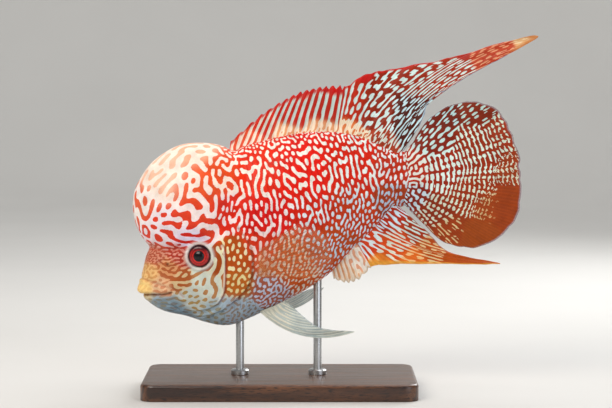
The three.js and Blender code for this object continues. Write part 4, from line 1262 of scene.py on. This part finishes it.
def brushed_steel(tree, where):
    """Stainless rod, turned and brushed round its axis: fine rings that spread the highlight up and down."""
    flat = add(tree, "Mapping", {"Vector": where, "Scale": (0.1, 0.1, 1.0)})
    rings = add(tree, "TexNoise", {"Vector": flat, "Scale": per_mm(0.25), "Detail": 4.0})
    silver = add(tree, "Mix", {0: rings, 6: tone("#A9ABAD"), 7: tone("#CFD1D2")}, 2, data_type="RGBA")
    return {
        "Base Color": silver,
        "Metallic": 1.0,
        "Normal": add(tree, "Bump", {"Strength": 0.3, "Distance": 0.03 * MM, "Height": rings}),
        "Roughness": add(tree, "MapRange", {"Value": rings, **MIDDLE, "To Min": 0.24, "To Max": 0.38}),
    }


def backdrop_paper(tree, where):
    """Matt seamless backdrop paper, with the faintest cloudiness."""
    cloud = add(tree, "TexNoise", {"Vector": where, "Scale": per_mm(220), "Detail": 3.0})
    tooth = add(tree, "TexNoise", {"Vector": where, "Scale": per_mm(0.8), "Detail": 3.0})
    pale = add(tree, "Mix", {0: cloud, 6: tone("#C6C5C2"), 7: tone("#CECDCA")}, 2, data_type="RGBA")
    return {
        "Base Color": pale,
        "Normal": add(tree, "Bump", {"Strength": 0.1, "Distance": 0.2 * MM, "Height": tooth}),
        "Roughness": 0.85,
    }


# The set: a seamless pale sweep all round, soft lights, and a camera at the photo's angle.
SWEEP = {"floor": 1900, "bend": 900, "top": 2600}  # radii of the floor and of its bend, and the wall's top
# The camera's sizes are in metres, but for its sensor in millimetres and its elevation in degrees.
VIEW = {"centre": (0.0187, 0, 0.1354), "distance": 1.5, "elevation": 4, "width_seen": 0.4406, "sensor": 36}
# Each light: where it stands and what it looks at in metres, its width and height, watts and colour.
LIGHTS = {
    "key": ((-0.75, -1.0, 0.95), (0, 0, 0.13), (0.9, 0.7), 16, "#FFF6EC"),
    "fill": ((0.95, -1.1, 0.45), (0.02, 0, 0.13), (0.9, 0.9), 5.4, "#F0F5FF"),
    "top": ((0.1, 0.15, 1.15), (0.02, 0, 0.15), (1.0, 0.7), 7.2, "#FFFFFF"),
    "rim": ((0.6, 0.8, 0.7), (0.02, 0, 0.15), (0.6, 0.6), 7, "#FFFFFF"),
    "wall": ((0, 1.3, 2.1), (0, 2.8, 0.6), (2.6, 0.8), 22, "#FFFFFF"),
}


def make_sweep(paper):
    """The floor curves up into a wall all round."""
    turn = np.linspace(0, math.pi / 2, 25)
    bend = np.stack([SWEEP["floor"] + SWEEP["bend"] * np.sin(turn), SWEEP["bend"] * (1 - np.cos(turn))], 1)
    profile = [(0, 0), *bend, (SWEEP["floor"] + SWEEP["bend"], SWEEP["top"])]
    mesh, _ = turned_mesh("sweep", profile, 96)
    soften_shading(mesh)
    mesh.materials.append(paper)
    link("sweep", mesh)


def aim_at(thing, at, aim):
    thing.location = at
    thing.rotation_euler = (Vector(aim) - Vector(at)).to_track_quat("-Z", "Y").to_euler()


def make_light(name, at, aim, size, watts, colour):
    data = bpy.data.lights.new(name, "AREA")
    data.shape = "RECTANGLE"
    data.size, data.size_y = size
    data.energy = watts
    data.color = tuple(linear(colour))
    aim_at(link(name, data), at, aim)


def make_set():
    make_sweep(new_material("backdrop paper", backdrop_paper))
    for name, values in LIGHTS.items():
        make_light(name, *values)
    world = bpy.data.worlds.new("studio")
    world.use_nodes = True
    tree = world.node_tree
    tree.nodes["Background"].inputs["Color"].default_value = tone("#F2F4F7")
    tree.nodes["Background"].inputs["Strength"].default_value = 0.3
    bpy.context.scene.world = world
    bpy.context.scene.view_settings.view_transform = "Standard"
    data = bpy.data.cameras.new("camera")
    data.sensor_width = VIEW["sensor"]
    data.lens = VIEW["sensor"] * VIEW["distance"] / VIEW["width_seen"]
    camera = link("camera", data)
    rise = math.radians(VIEW["elevation"])
    centre = Vector(VIEW["centre"])
    aim_at(camera, centre + Vector((0, -math.cos(rise), math.sin(rise))) * VIEW["distance"], centre)
    bpy.context.scene.camera = camera


markings = Markings()
skin = new_material("varnished fish skin", fish_skin)
make_skin(skin, markings)
make_scales(skin, markings)
fin = new_material("tinted resin fin", resin_fin)
make_fins(fin)
make_eyes(new_material("painted glass eye", glass_eye))
make_base(new_material("stained walnut", walnut))
make_supports(new_material("brushed stainless steel", brushed_steel))
make_set()
